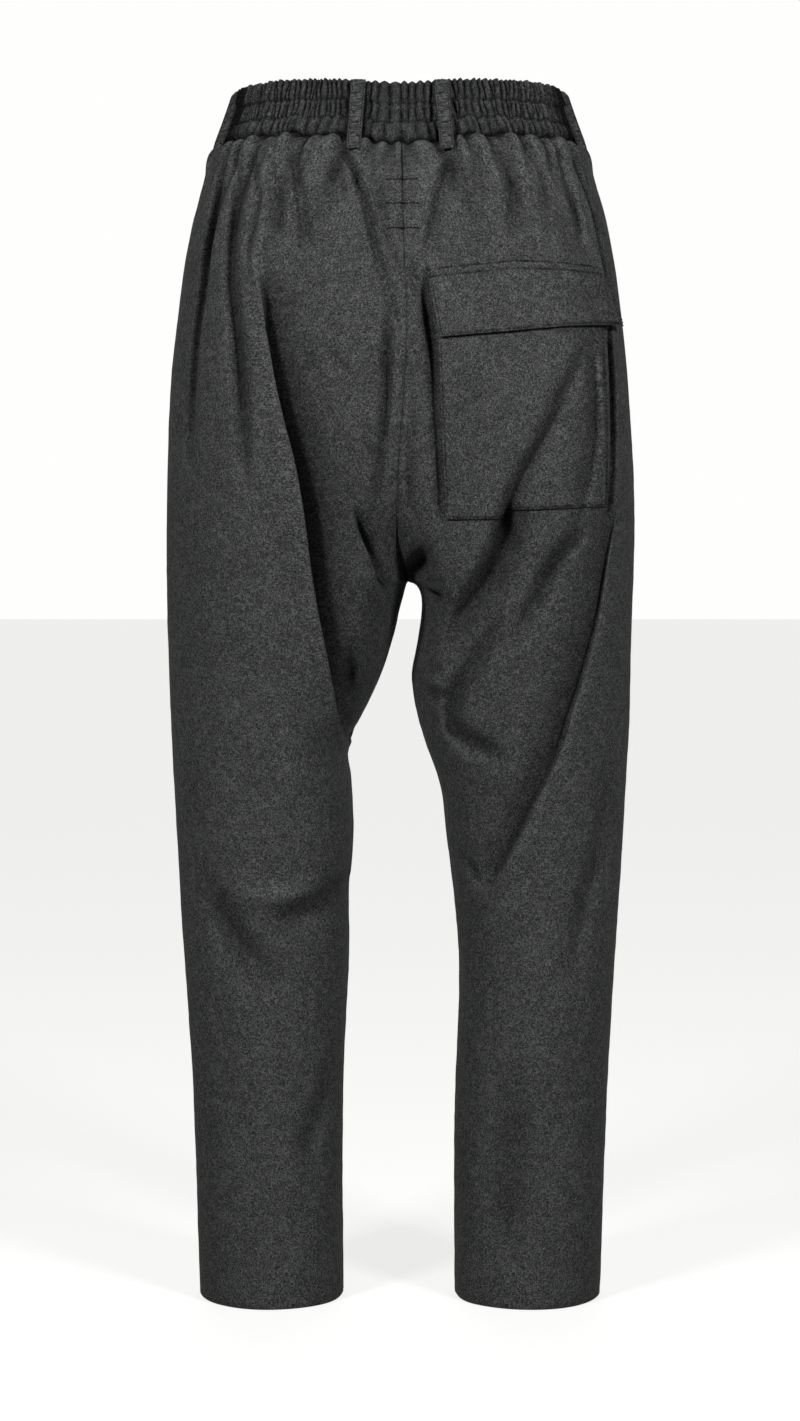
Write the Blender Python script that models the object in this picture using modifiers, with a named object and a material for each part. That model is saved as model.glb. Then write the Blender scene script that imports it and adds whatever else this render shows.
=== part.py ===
"""Harem pants: drop-crotch trousers with a gathered waistband, hollow, as a general figure fills them.

+Z is up, the wearer faces +Y and their right side is at +X. The origin is the middle of the waist, halfway
up the waistband. Sizes and tables are in millimetres, and new_object() turns them into metres.

Each half of the trousers is a surface over two numbers: a height, and u, which runs round the half from
the centre-back seam or the inseam (0) over the outseam (0.5) to the centre-front seam or the inseam (1).
"""

import math
from collections import namedtuple

import bpy
import numpy as np

METRES = 0.001

# Cloth, walls and gaps
CLOTH = 1.2
BAND_WALL = 3.0
LOOP_WALL = 2.0
GAP = 0.3
SEAM_MARGIN = 3.0

# Heights of the seams, at the sides
WAIST_SEAM = -20.0
CROTCH = -387.0
HEM = -985.0

# The waistband: its seam and its top edge dip below their height at the sides
BAND_TOP = 20.0
SEAM_DIP_BACK = 11.0
SEAM_DIP_FRONT = 8.0
TOP_DIP = 5.0
DIP_FADES_AT = -75.0

# Depth of the outseam, and the curve that the centre seams follow to the crotch. The inseams are at y = 0
OUTSEAM_Y = -6.0
CROTCH_CURVE_HEIGHT = 130.0
CROTCH_CURVE_POWER = 3.0
CREASE_OPENS = 0.35
CREASE_OPENS_REACH = 12.0
MOST_SEAM_DEPTH = 0.999

# Faces round and down each panel. The columns near the outseam keep their distance from it, so only those near
# the centre or the inseam slant where a row grows longer at the crotch
OUTER_REACH = 150.0
OUTER_COLUMNS = 7
INNER_COLUMNS = 3
SAMPLES = 81
TORSO_ROWS = (-29, -42, -60, -83, -112, -145, -154, -175, -200, -228, -258, -290, -320)
CROTCH_ROWS = (42, 22, 8, 0, -8, -22, -42)
LEG_ROWS = (-455, -485, -517, -550, -585, -620, -650, -685, -730, -785, -840, -890, -938)
BAND_COLUMNS = 24

SIDES = {"left": -1.0, "right": 1.0}
FACES = {"back": (0.0, 0.5), "front": (0.5, 1.0)}

Section = namedtuple("Section", "z outer lobe back front")
SECTIONS = (
    # height, half-width, share of it where the half is fullest, depth there behind and in front
    Section(-20, 142.0, 0.30, 106, 101),
    Section(-29, 153.5, 0.32, 114, 107),
    Section(-50, 160.5, 0.36, 121, 111),
    Section(-85, 171.0, 0.42, 131, 114),
    Section(-120, 178.5, 0.46, 139, 116),
    Section(-165, 184.5, 0.49, 146, 118),
    Section(-220, 190.0, 0.50, 149, 120),
    Section(-285, 193.7, 0.50, 146, 121),
    Section(-343, 195.0, 0.50, 139, 121),
    Section(-387, 194.6, 0.51, 131, 120),
    Section(-440, 193.5, 0.53, 122, 117),
    Section(-487, 192.4, 0.55, 114, 112),
    Section(-570, 188.2, 0.59, 103, 103),
    Section(-655, 183.5, 0.62, 94, 94),
    Section(-735, 178.5, 0.63, 89, 87),
    Section(-822, 173.8, 0.635, 84, 81),
    Section(-905, 171.0, 0.64, 80, 76),
    Section(-985, 167.6, 0.645, 77, 73),
)

CentreSeam = namedtuple("CentreSeam", "z across back front")
CENTRE_SEAM = (
    # height, place across, depth behind and in front, before the curve to the crotch
    CentreSeam(-20, 0.0, 106, 101),
    CentreSeam(-50, 0.0, 120, 110),
    CentreSeam(-120, 0.0, 137, 114),
    CentreSeam(-220, 0.5, 146, 116),
    CentreSeam(-285, 0.0, 142, 115),
    CentreSeam(-325, -3.0, 136, 112),
    CentreSeam(-360, -1.0, 131, 110),
    CentreSeam(-387, 7.0, 127, 108),
)

Inseam = namedtuple("Inseam", "drop left right")
INSEAM = (
    # drop below the crotch, place across of each inseam
    Inseam(0, 6.5, 7.5),
    Inseam(6, 4.0, 16.0),
    Inseam(26, -1.5, 18.5),
    Inseam(49, -7.0, 15.5),
    Inseam(83, -18.0, 10.5),
    Inseam(116, -33.0, 15.5),
    Inseam(138, -43.5, 22.5),
    Inseam(167, -41.0, 33.0),
    Inseam(217, -40.0, 40.0),
    Inseam(267, -44.0, 46.5),
    Inseam(300, -43.5, 49.5),
    Inseam(435, -47.5, 46.5),
    Inseam(598, -48.5, 46.5),
)

Fold = namedtuple("Fold", "side face path depth west east")
FOLDS = (
    # Troughs: the face they run down, their (x, z) course, their depth, and their reach on each side
    Fold("left", "back", ((-118, -110), (-109, -165), (-92, -250), (-77, -335), (-70, -385), (-58, -430), (-44, -480)),
         20.0, 16.0, 42.0),
    Fold("left", "back", ((-150, -85), (-157, -150), (-165, -220), (-168, -280)), 6.0, 18.0, 18.0),
    Fold("left", "back", ((-55, -65), (-40, -120), (-22, -200), (-18, -275)), 7.0, 20.0, 18.0),
    Fold("left", "back", ((-118, -625), (-90, -650), (-55, -640)), 6.0, 16.0, 16.0),
    Fold("right", "back", ((140, -200), (120, -245), (98, -300), (82, -345), (55, -395), (34, -430)), 13.0, 24.0, 20.0),
    Fold("right", "back", ((166, -355), (155, -430), (125, -515), (94, -585), (68, -622)), 11.0, 26.0, 22.0),
    Fold("right", "back", ((40, -60), (26, -110), (22, -160), (30, -230), (33, -290)), 7.0, 16.0, 16.0),
    Fold("right", "back", ((150, -75), (160, -110), (166, -150)), 8.0, 16.0, 14.0),
    Fold("right", "back", ((80, -415), (52, -460), (36, -500)), 6.0, 18.0, 18.0),
    Fold("left", "front", ((-140, -90), (-130, -170), (-105, -270), (-80, -360), (-62, -440)), 14.0, 20.0, 32.0),
    Fold("left", "front", ((-60, -70), (-48, -140), (-30, -230)), 7.0, 18.0, 18.0),
    Fold("left", "front", ((-120, -610), (-92, -640), (-62, -632)), 6.0, 16.0, 16.0),
    Fold("right", "front", ((128, -95), (122, -180), (100, -280), (70, -370), (48, -440)), 14.0, 30.0, 20.0),
    Fold("right", "front", ((52, -70), (40, -140), (24, -220)), 7.0, 18.0, 18.0),
    Fold("right", "front", ((150, -420), (135, -500), (105, -580), (75, -630)), 8.0, 22.0, 22.0),
)
FOLD_STEPS = 28
FOLD_END = 0.16
FOLD_CROSSES_ABOVE = 40.0

BandRing = namedtuple("BandRing", "rise scale")
BAND_RINGS = (
    # share of the band's height, and the size of the ring there beside the waist seam
    BandRing(0.00, 1.000),
    BandRing(0.15, 0.975),
    BandRing(0.50, 0.948),
    BandRing(0.87, 0.936),
    BandRing(1.00, 0.915),
)

Loop = namedtuple("Loop", "name side u lean bow")
LOOPS = (
    # the side and place round the waist, how far round from it the foot is, and the bow off the band
    Loop("belt_loop_back_left", "left", 0.205, -0.026, 2.6),
    Loop("belt_loop_back_right", "right", 0.203, -0.025, 2.6),
    Loop("belt_loop_side_left", "left", 0.495, 0.0, 4.5),
    Loop("belt_loop_side_right", "right", 0.495, 0.0, 4.5),
    Loop("belt_loop_front_left", "left", 0.790, 0.0, 2.6),
    Loop("belt_loop_front_right", "right", 0.790, 0.0, 2.6),
)
LOOP_WIDTH = 12.0
LOOP_HEAD_SCALE = 0.940
LOOP_EASE = 0.4
LOOP_FOOT = -29.0
LOOP_STATIONS = 9

# Corners of the pocket and of its flap, as (x, z) seen from behind
POCKET_OUTLINE = ((29, -155.5), (162, -155.5), (166, -260), (167, -327), (110, -333), (37, -338), (34, -280))
FLAP_OUTLINE = ((21, -138), (90, -131), (165, -132), (173, -155), (181, -180), (100, -188), (32, -194))
FLAP_STRIP = -145.0
POCKET_MOUTH = -154.0
FLAP_HEM = -190.0
FLAP_LIFT = 3.5

Cloth = namedtuple("Cloth", "color roughness")
WOOL = Cloth((0.045, 0.046, 0.048, 1.0), 0.85)
BAND_WOOL = Cloth((0.038, 0.039, 0.041, 1.0), 0.88)


def spline(at, knots, values):
    """A smooth curve through the table's points, read at any place: cubic pieces with slopes from neighbours."""
    knots = np.asarray(knots, float)
    values = np.asarray(values, float)
    if knots[0] > knots[-1]:
        knots, values = knots[::-1], values[::-1]
    slopes = np.gradient(values, knots)
    at = np.clip(at, knots[0], knots[-1])
    i = np.clip(np.searchsorted(knots, at, side="right") - 1, 0, len(knots) - 2)
    width = knots[i + 1] - knots[i]
    t = (at - knots[i]) / width
    return (
        values[i] * (1 + 2 * t) * (1 - t) ** 2
        + values[i + 1] * t**2 * (3 - 2 * t)
        + slopes[i] * width * t * (1 - t) ** 2
        - slopes[i + 1] * width * t**2 * (1 - t)
    )


def column(table, name):
    return [getattr(row, name) for row in table]


def from_table(table, key, name, at):
    return spline(at, column(table, key), column(table, name))


def outline(side, u, z):
    """(x, y) of a half at u and height z, before the folds.

    From the fullest point of the back or front, a quarter ellipse runs out to the outseam. Another runs in:
    on a leg to the inseam, and above the crotch only as far as the centre seam's depth, spread to reach it.
    """
    u, z = np.broadcast_arrays(np.asarray(u, float), np.asarray(z, float))
    sign = SIDES[side]
    torso = z > CROTCH
    rise = np.clip(z - CROTCH, 0, None)
    left_to_curve = 1 - np.clip(rise / CROTCH_CURVE_HEIGHT, 0, 1)
    curve = np.sqrt(1 - left_to_curve**CROTCH_CURVE_POWER)
    apart = GAP / 2 + CREASE_OPENS * np.exp(-rise / CREASE_OPENS_REACH)
    drops = [math.sqrt(row.drop) for row in INSEAM]
    inner = np.where(
        torso,
        from_table(CENTRE_SEAM, "z", "across", z) + sign * apart,
        spline(np.sqrt(np.clip(CROTCH - z, 0, None)), drops, column(INSEAM, side)),
    )
    outer = sign * from_table(SECTIONS, "z", "outer", z)
    fullest = outer * from_table(SECTIONS, "z", "lobe", z)
    xy = np.zeros(u.shape + (2,))
    for face, first, way in (("back", 0.0, -1.0), ("front", 1.0, 1.0)):
        depth = from_table(SECTIONS, "z", face, z)
        seam_share = np.clip(curve * from_table(CENTRE_SEAM, "z", face, z) / depth, 0, MOST_SEAM_DEPTH)
        start = np.arcsin(np.where(torso, seam_share, 0))
        away = 4 * np.abs(u - first)
        inwards = start + (math.pi / 2 - start) * np.clip(away, 0, 1)
        outwards = math.pi / 2 * np.clip(away - 1, 0, 1)
        inside = (fullest + (inner - fullest) * np.cos(inwards) / np.cos(start), way * depth * np.sin(inwards))
        outside = (
            fullest + (outer - fullest) * np.sin(outwards),
            OUTSEAM_Y + (way * depth - OUTSEAM_Y) * np.cos(outwards),
        )
        for axis in range(2):
            here = np.where(away <= 1, inside[axis], outside[axis])
            xy[..., axis] = np.where(away <= 2, here, xy[..., axis])
    return xy


def dip(u, back, front):
    """How far an edge of the waistband lies below its height at the sides."""
    return np.where(u < 0.5, back, front) * np.cos(math.pi * u) ** 2


def base(side, u, z):
    """Points of a half without its folds. The rows near the waist follow the waist seam."""
    u, z = np.broadcast_arrays(np.asarray(u, float), np.asarray(z, float))
    xy = outline(side, u, z)
    share = np.clip((z - DIP_FADES_AT) / (WAIST_SEAM - GAP - DIP_FADES_AT), 0, 1)
    height = z - dip(u, SEAM_DIP_BACK, SEAM_DIP_FRONT) * share**2
    return np.concatenate([xy, height[..., None]], axis=-1)


def unit(vectors):
    return vectors / np.maximum(np.linalg.norm(vectors, axis=-1, keepdims=True), 1e-12)


def outward(side, u, z):
    """Unit normals of the surface without its folds, from two short steps along it."""
    u, z = np.broadcast_arrays(np.asarray(u, float), np.asarray(z, float))
    step = np.where(u < 0.5, 1e-3, -1e-3)
    round_it = (base(side, u + step, z) - base(side, u, z)) * np.sign(step)[..., None]
    down = base(side, u, z - 0.5) - base(side, u, z + 0.5)
    return unit(np.cross(down, round_it)) * SIDES[side]


def fold_course(fold):
    """The fold's path on its face, as points close together, with the share of its length at each."""
    path = np.array(fold.path, float)
    along = np.linspace(0, 1, len(path))
    at = np.linspace(0, 1, FOLD_STEPS)
    x = spline(at, along, path[:, 0])
    z = spline(at, along, path[:, 1])
    u = np.linspace(*FACES[fold.face], SAMPLES)
    sign = SIDES[fold.side]
    points = []
    for across, height in zip(x, z):
        row = outline(fold.side, u, np.full(SAMPLES, height))[:, 0] * sign
        order = np.argsort(row)
        place = np.interp(across * sign, row[order], u[order])
        points.append(base(fold.side, place, height))
    return np.array(points), at


def fold_depth(fold, points):
    """How far the fold pushes each point inwards: a soft trough, steeper on its short side."""
    course, along = fold_course(fold)
    nearest = np.full(points.shape[:-1], 1e9)
    depth = np.zeros(points.shape[:-1])
    for k in range(len(course) - 1):
        edge = course[k + 1] - course[k]
        share = np.clip(((points - course[k]) @ edge) / (edge @ edge), 0, 1)
        away = points - (course[k] + share[..., None] * edge)
        distance = np.linalg.norm(away, axis=-1)
        east = away[..., 0] * -edge[2] + away[..., 2] * edge[0] > 0
        ratio = distance / np.where(east, fold.east, fold.west)
        at = along[k] + share * (along[k + 1] - along[k])
        end = np.clip(np.minimum(at, 1 - at) / FOLD_END, 0, 1)
        closer = ratio < nearest
        nearest = np.where(closer, ratio, nearest)
        depth = np.where(closer, fold.depth * np.exp(-(ratio**2)) * end * (2 - end), depth)
    return depth


def surface(side, u, z):
    """Points of a half's outer face, with its folds. A fold reaches the other half only above the crotch."""
    points = base(side, u, z)
    over = np.clip((points[..., 2] - CROTCH) / FOLD_CROSSES_ABOVE, 0, 1)
    pushed = np.zeros(points.shape[:-1])
    for fold in FOLDS:
        pushed += fold_depth(fold, points) * (1 if fold.side == side else over)
    return points - pushed[..., None] * outward(side, u, z)


def rows():
    """Nominal heights of a panel's rows, closer together near the waist and the crotch."""
    crotch = [CROTCH + rise for rise in CROTCH_ROWS]
    return np.array([WAIST_SEAM - GAP, *TORSO_ROWS, *crotch, *LEG_ROWS, HEM], float)


def lengths_along(points):
    steps = np.linalg.norm(np.diff(points, axis=0), axis=1)
    return np.concatenate([[0], np.cumsum(steps)])


def points_at(points, stations):
    """Points at given lengths along a polyline."""
    length = lengths_along(points)
    return np.stack([np.interp(stations, length, axis) for axis in points.T], axis=1)


def panel_row(points):
    """Half a seam gap in from both edges, a narrow margin beside each, and the columns between."""
    length = lengths_along(points)[-1]
    inner = np.linspace(SEAM_MARGIN, length - OUTER_REACH, INNER_COLUMNS + 1)
    outer = np.linspace(length - OUTER_REACH, length - SEAM_MARGIN, OUTER_COLUMNS + 1)
    return points_at(points, np.concatenate([[GAP / 2], inner, outer[1:], [length - GAP / 2]]))


def panel_grid(side, face):
    """The panel's points: a row for each height, running towards +u."""
    u = np.linspace(*FACES[face], SAMPLES)
    fine = surface(side, u[None, :], rows()[:, None])
    way = 1 if face == "back" else -1
    return np.array([panel_row(points[::way])[::way] for points in fine])


def new_object(name, points, faces, collection, cloth):
    mesh = bpy.data.meshes.new(name)
    mesh.from_pydata([tuple(p) for p in np.asarray(points) * METRES], [], [tuple(map(int, f)) for f in faces])
    mesh.validate()
    mesh.shade_smooth()
    obj = bpy.data.objects.new(name, mesh)
    collection.objects.link(obj)
    if cloth:
        mesh.materials.append(new_material(name, cloth))
    return obj


def new_material(name, cloth):
    material = bpy.data.materials.new(name)
    material.use_nodes = True
    shader = material.node_tree.nodes["Principled BSDF"]
    shader.inputs["Base Color"].default_value = cloth.color
    shader.inputs["Roughness"].default_value = cloth.roughness
    shader.inputs["Metallic"].default_value = 0.0
    return material


def grid_faces(row_count, column_count, flip, closed=False):
    """Triangles between neighbouring points of a grid, the other way round where flip is set."""
    faces = []
    for r in range(row_count - 1):
        for c in range(column_count if closed else column_count - 1):
            d = (c + 1) % column_count
            top, low = r * column_count, (r + 1) * column_count
            for face in ((top + c, low + c, low + d), (top + c, low + d, top + d)):
                faces.append(face[::-1] if flip else face)
    return faces


def thicken(obj, wall, outwards=False):
    solidify = obj.modifiers.new("Wall", "SOLIDIFY")
    solidify.thickness = wall * METRES
    solidify.offset = 1.0 if outwards else -1.0
    solidify.use_rim = True
    return solidify


def panel_object(name, side, grid, collection):
    faces = grid_faces(grid.shape[0], grid.shape[1], side == "left")
    return new_object(name, grid.reshape(-1, 3), faces, collection, WOOL)


def make_panels(collection):
    grids = {}
    for side in SIDES:
        for face in FACES:
            grid = panel_grid(side, face)
            name = f"{face}_{side}"
            thicken(panel_object(name, side, grid, collection), CLOTH)
            grids[name] = grid
    return grids


def band_point(side, u, rise, scale):
    """A point of the waistband's outer face at a share of its height."""
    xy = outline(side, u, WAIST_SEAM) * np.asarray(scale)[..., None]
    low = WAIST_SEAM - dip(u, SEAM_DIP_BACK, SEAM_DIP_FRONT)
    high = BAND_TOP - dip(u, TOP_DIP, TOP_DIP)
    z = low + (high - low) * rise
    return np.concatenate([xy, np.broadcast_to(z, xy.shape[:-1])[..., None]], axis=-1)


def make_waistband(collection):
    """A ring over the panels' top edges, drawn in above the waist seam."""
    u = np.linspace(0, 1, 4 * SAMPLES)
    rings = []
    for ring in reversed(BAND_RINGS):
        right = band_point("right", u, ring.rise, ring.scale)
        left = band_point("left", u[::-1], ring.rise, ring.scale)
        halves = []
        for half in (right, left):
            even = np.linspace(0, lengths_along(half)[-1], BAND_COLUMNS + 1)
            halves.append(points_at(half, even)[:-1])
        rings.append(np.concatenate(halves))
    points = np.array(rings)
    faces = grid_faces(points.shape[0], points.shape[1], flip=False, closed=True)
    band = new_object("waistband", points.reshape(-1, 3), faces, collection, BAND_WOOL)
    thicken(band, BAND_WALL)


def make_loop(loop, collection):
    """A strip from the band's top edge to a foot just below the waist seam, clear of the band between.

    Its two edges start on the band and end on the panel, half a width round from its middle.
    """
    step = 1e-3
    across = np.linalg.norm(outline(loop.side, loop.u, WAIST_SEAM) - outline(loop.side, loop.u - step, WAIST_SEAM))
    half = LOOP_WIDTH / 2 * step / across
    u = loop.u + np.array([-half, half])
    out = unit(outward(loop.side, np.full(2, loop.u), LOOP_FOOT) * (1, 1, 0))
    head = band_point(loop.side, u, 1.0, np.full(2, LOOP_HEAD_SCALE))
    foot = base(loop.side, u + loop.lean, LOOP_FOOT)
    share = np.linspace(0, 1, LOOP_STATIONS)[:, None, None]
    bow = GAP + LOOP_EASE + loop.bow * 4 * share * (1 - share)
    points = head + (foot - head) * share + out * bow
    flip = loop.side == "left"
    strip = new_object(loop.name, points.reshape(-1, 3), grid_faces(LOOP_STATIONS, 2, flip), collection, WOOL)
    thicken(strip, LOOP_WALL, outwards=True)


def prism(name, corners, collection):
    """A cutter: an outline seen from behind, run through the back of the trousers."""
    near, far = OUTSEAM_Y - 240.0, OUTSEAM_Y
    count = len(corners)
    points = [(x, near, z) for x, z in corners] + [(x, far, z) for x, z in corners]
    faces = [tuple(range(count))[::-1], tuple(range(count, 2 * count))]
    for i in range(count):
        j = (i + 1) % count
        faces.append((i, j, j + count, i + count))
    cutter = new_object(name, points, faces, collection, None)
    cutter.hide_render = True
    cutter.display_type = "WIRE"
    return cutter


def grid_normals(grid):
    """Unit normals of a back panel's points, out of the garment."""
    down = np.gradient(grid, axis=0)
    across = np.gradient(grid, axis=1)
    normals = unit(np.cross(down, across))
    return normals * -np.sign(normals[..., 1:2].mean())


def make_patch(name, grid, lift, corners, collection, cutters):
    """A piece that lies on the right back: its points moved out by lift, as a wall, cut to its outline."""
    moved = grid + grid_normals(grid) * lift[:, None, None]
    patch = panel_object(name, "right", moved, collection)
    thicken(patch, CLOTH, outwards=True)
    trim = patch.modifiers.new("Outline", "BOOLEAN")
    trim.operation = "INTERSECT"
    trim.solver = "EXACT"
    trim.object = prism(f"{name}_outline", corners, cutters)


def make_pocket(grid, collection, cutters):
    on_panel = np.full(len(grid), GAP)
    make_patch("back_pocket", grid, on_panel, POCKET_OUTLINE, collection, cutters)
    on_pocket = 2 * GAP + CLOTH
    at = [HEM, FLAP_HEM, POCKET_MOUTH, FLAP_STRIP, WAIST_SEAM]
    lift = [on_pocket + FLAP_LIFT, on_pocket + FLAP_LIFT, on_pocket, GAP, GAP]
    make_patch("pocket_flap", grid, np.interp(rows(), at, lift), FLAP_OUTLINE, collection, cutters)


def new_collection(name):
    collection = bpy.data.collections.new(name)
    bpy.context.scene.collection.children.link(collection)
    return collection


def main():
    for obj in list(bpy.data.objects):
        bpy.data.objects.remove(obj, do_unlink=True)
    pants = new_collection("Harem pants")
    cutters = new_collection("Cutters")
    grids = make_panels(pants)
    make_waistband(pants)
    for loop in LOOPS:
        make_loop(loop, pants)
    make_pocket(grids["back_right"], pants, cutters)


main()
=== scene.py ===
"""Harem pants of charcoal wool flannel: drop crotch, gathered waistband, belt loops and flapped back pocket.

+Z is up, the wearer faces +Y and their right side is at +X; the origin is the middle of the waist. Sizes and
tables are in millimetres, and cloth_mesh() turns them into metres.

Each half of the garment is a surface over a height z and a number u, which runs round the half from the
centre-back seam or the inseam (0) over the outseam (0.5) to the centre-front seam or the inseam (1).
"""

from __future__ import annotations

import logging
import math
from dataclasses import dataclass, field
from enum import Enum
from typing import NamedTuple, Optional, Sequence

import bmesh
import bpy
import numpy as np
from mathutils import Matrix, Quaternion, Vector


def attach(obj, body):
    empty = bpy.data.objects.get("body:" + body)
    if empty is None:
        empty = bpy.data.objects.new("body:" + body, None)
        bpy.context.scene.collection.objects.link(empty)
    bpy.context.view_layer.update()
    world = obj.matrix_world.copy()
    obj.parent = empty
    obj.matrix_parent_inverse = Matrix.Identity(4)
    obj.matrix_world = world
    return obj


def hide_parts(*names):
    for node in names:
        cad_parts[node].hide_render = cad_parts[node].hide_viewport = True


log = logging.getLogger("harem_pants")

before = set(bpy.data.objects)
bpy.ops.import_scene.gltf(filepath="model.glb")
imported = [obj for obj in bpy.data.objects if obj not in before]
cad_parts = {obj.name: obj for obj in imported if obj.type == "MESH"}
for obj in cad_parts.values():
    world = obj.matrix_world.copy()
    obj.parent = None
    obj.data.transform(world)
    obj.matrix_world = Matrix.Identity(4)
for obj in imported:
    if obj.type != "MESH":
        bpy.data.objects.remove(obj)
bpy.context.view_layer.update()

METRES = 0.001
UV_NAME = "cloth"
# the point attribute that carries painted shade in creases, and a little painted light on crests, into the
# flannel's colour
CREASE_SHADE = "crease"
WOOL, SHADED_BAND = "wool_flannel", "gathered_flannel"
LATTICE_CELLS = 24

Array = np.ndarray
Points = tuple[tuple[float, ...], ...]
Color = tuple[float, float, float]
Place = tuple[float, float, float]
Socket = bpy.types.NodeSocket
Piece = bpy.types.Object


class Side(Enum):
    """A half of the garment, by the wearer's own side, with the sign of its x."""

    LEFT = -1.0
    RIGHT = 1.0


class Face(Enum):
    """The back or the front of a half, with the stretch of u that it covers."""

    BACK = (0.0, 0.5)
    FRONT = (0.5, 1.0)


class Section(NamedTuple):
    """One level of a half: its half-width, where it is fullest as a share of that, and its depths there."""

    z: float
    outer: float
    lobe: float
    back: float
    front: float


class CentreSeam(NamedTuple):
    """One level of the centre seams: their place across, and their depths before the curve to the crotch."""

    z: float
    across: float
    back: float
    front: float


class Inseam(NamedTuple):
    """Where each inseam lies across, at a drop below the crotch."""

    drop: float
    left: float
    right: float


class Arch(NamedTuple):
    """A puff of cloth under the waistband: its middle across the back, its half-width and the seam's rise."""

    x: float
    half: float
    rise: float


def spline(at: Array, knots: Sequence[float], values: Sequence[float]) -> Array:
    """A smooth curve through a table's points: cubic pieces with slopes taken from the neighbouring points.

    Args:
        at: the places to read it at.
        knots: the table's places, rising or falling.
        values: the table's values there.

    Returns:
        The curve's values, held constant beyond the table's ends.
    """
    knots = np.asarray(knots, float)
    values = np.asarray(values, float)
    if knots[0] > knots[-1]:
        knots, values = knots[::-1], values[::-1]
    slopes = np.gradient(values, knots)
    at = np.clip(at, knots[0], knots[-1])
    i = np.clip(np.searchsorted(knots, at, side="right") - 1, 0, len(knots) - 2)
    width = knots[i + 1] - knots[i]
    t = (at - knots[i]) / width
    return (
        values[i] * (1 + 2 * t) * (1 - t) ** 2
        + values[i + 1] * t**2 * (3 - 2 * t)
        + slopes[i] * width * t * (1 - t) ** 2
        - slopes[i + 1] * width * t**2 * (1 - t)
    )


def unit(vectors: Array) -> Array:
    """The vectors at length one."""
    return vectors / np.maximum(np.linalg.norm(vectors, axis=-1, keepdims=True), 1e-12)


def lengths_along(points: Array) -> Array:
    """The length along a polyline at each of its points."""
    steps = np.linalg.norm(np.diff(points, axis=0), axis=1)
    return np.concatenate([[0.0], np.cumsum(steps)])


def bell(distance: Array, reach: float | Array) -> Array:
    """A soft hump, one at distance nought and fading past the reach: e to the minus square of their ratio."""
    return np.exp(-((distance / reach) ** 2))


def smooth_noise(points: Array, cell: Sequence[float], seed: int) -> Array:
    """Smooth random values from -1 to 1: a seeded lattice with the given cell, blended by smoothsteps.

    Args:
        points: places in millimetres, with any number of coordinates up to three.
        cell: the lattice's spacing along each coordinate.
        seed: which random lattice.

    Returns:
        One value for each point.
    """
    axes = points.shape[-1]
    lattice = np.random.default_rng(seed).uniform(-1, 1, (LATTICE_CELLS,) * axes)
    place = points / np.asarray(cell, float)
    low = np.floor(place).astype(int)
    share = place - low
    share = share * share * (3 - 2 * share)
    total = np.zeros(points.shape[:-1])
    for corner in np.ndindex((2,) * axes):
        step = np.array(corner)
        weight = np.prod(np.where(step, share, 1 - share), axis=-1)
        total += weight * lattice[tuple(np.moveaxis((low + step) % LATTICE_CELLS, -1, 0))]
    return total


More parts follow.
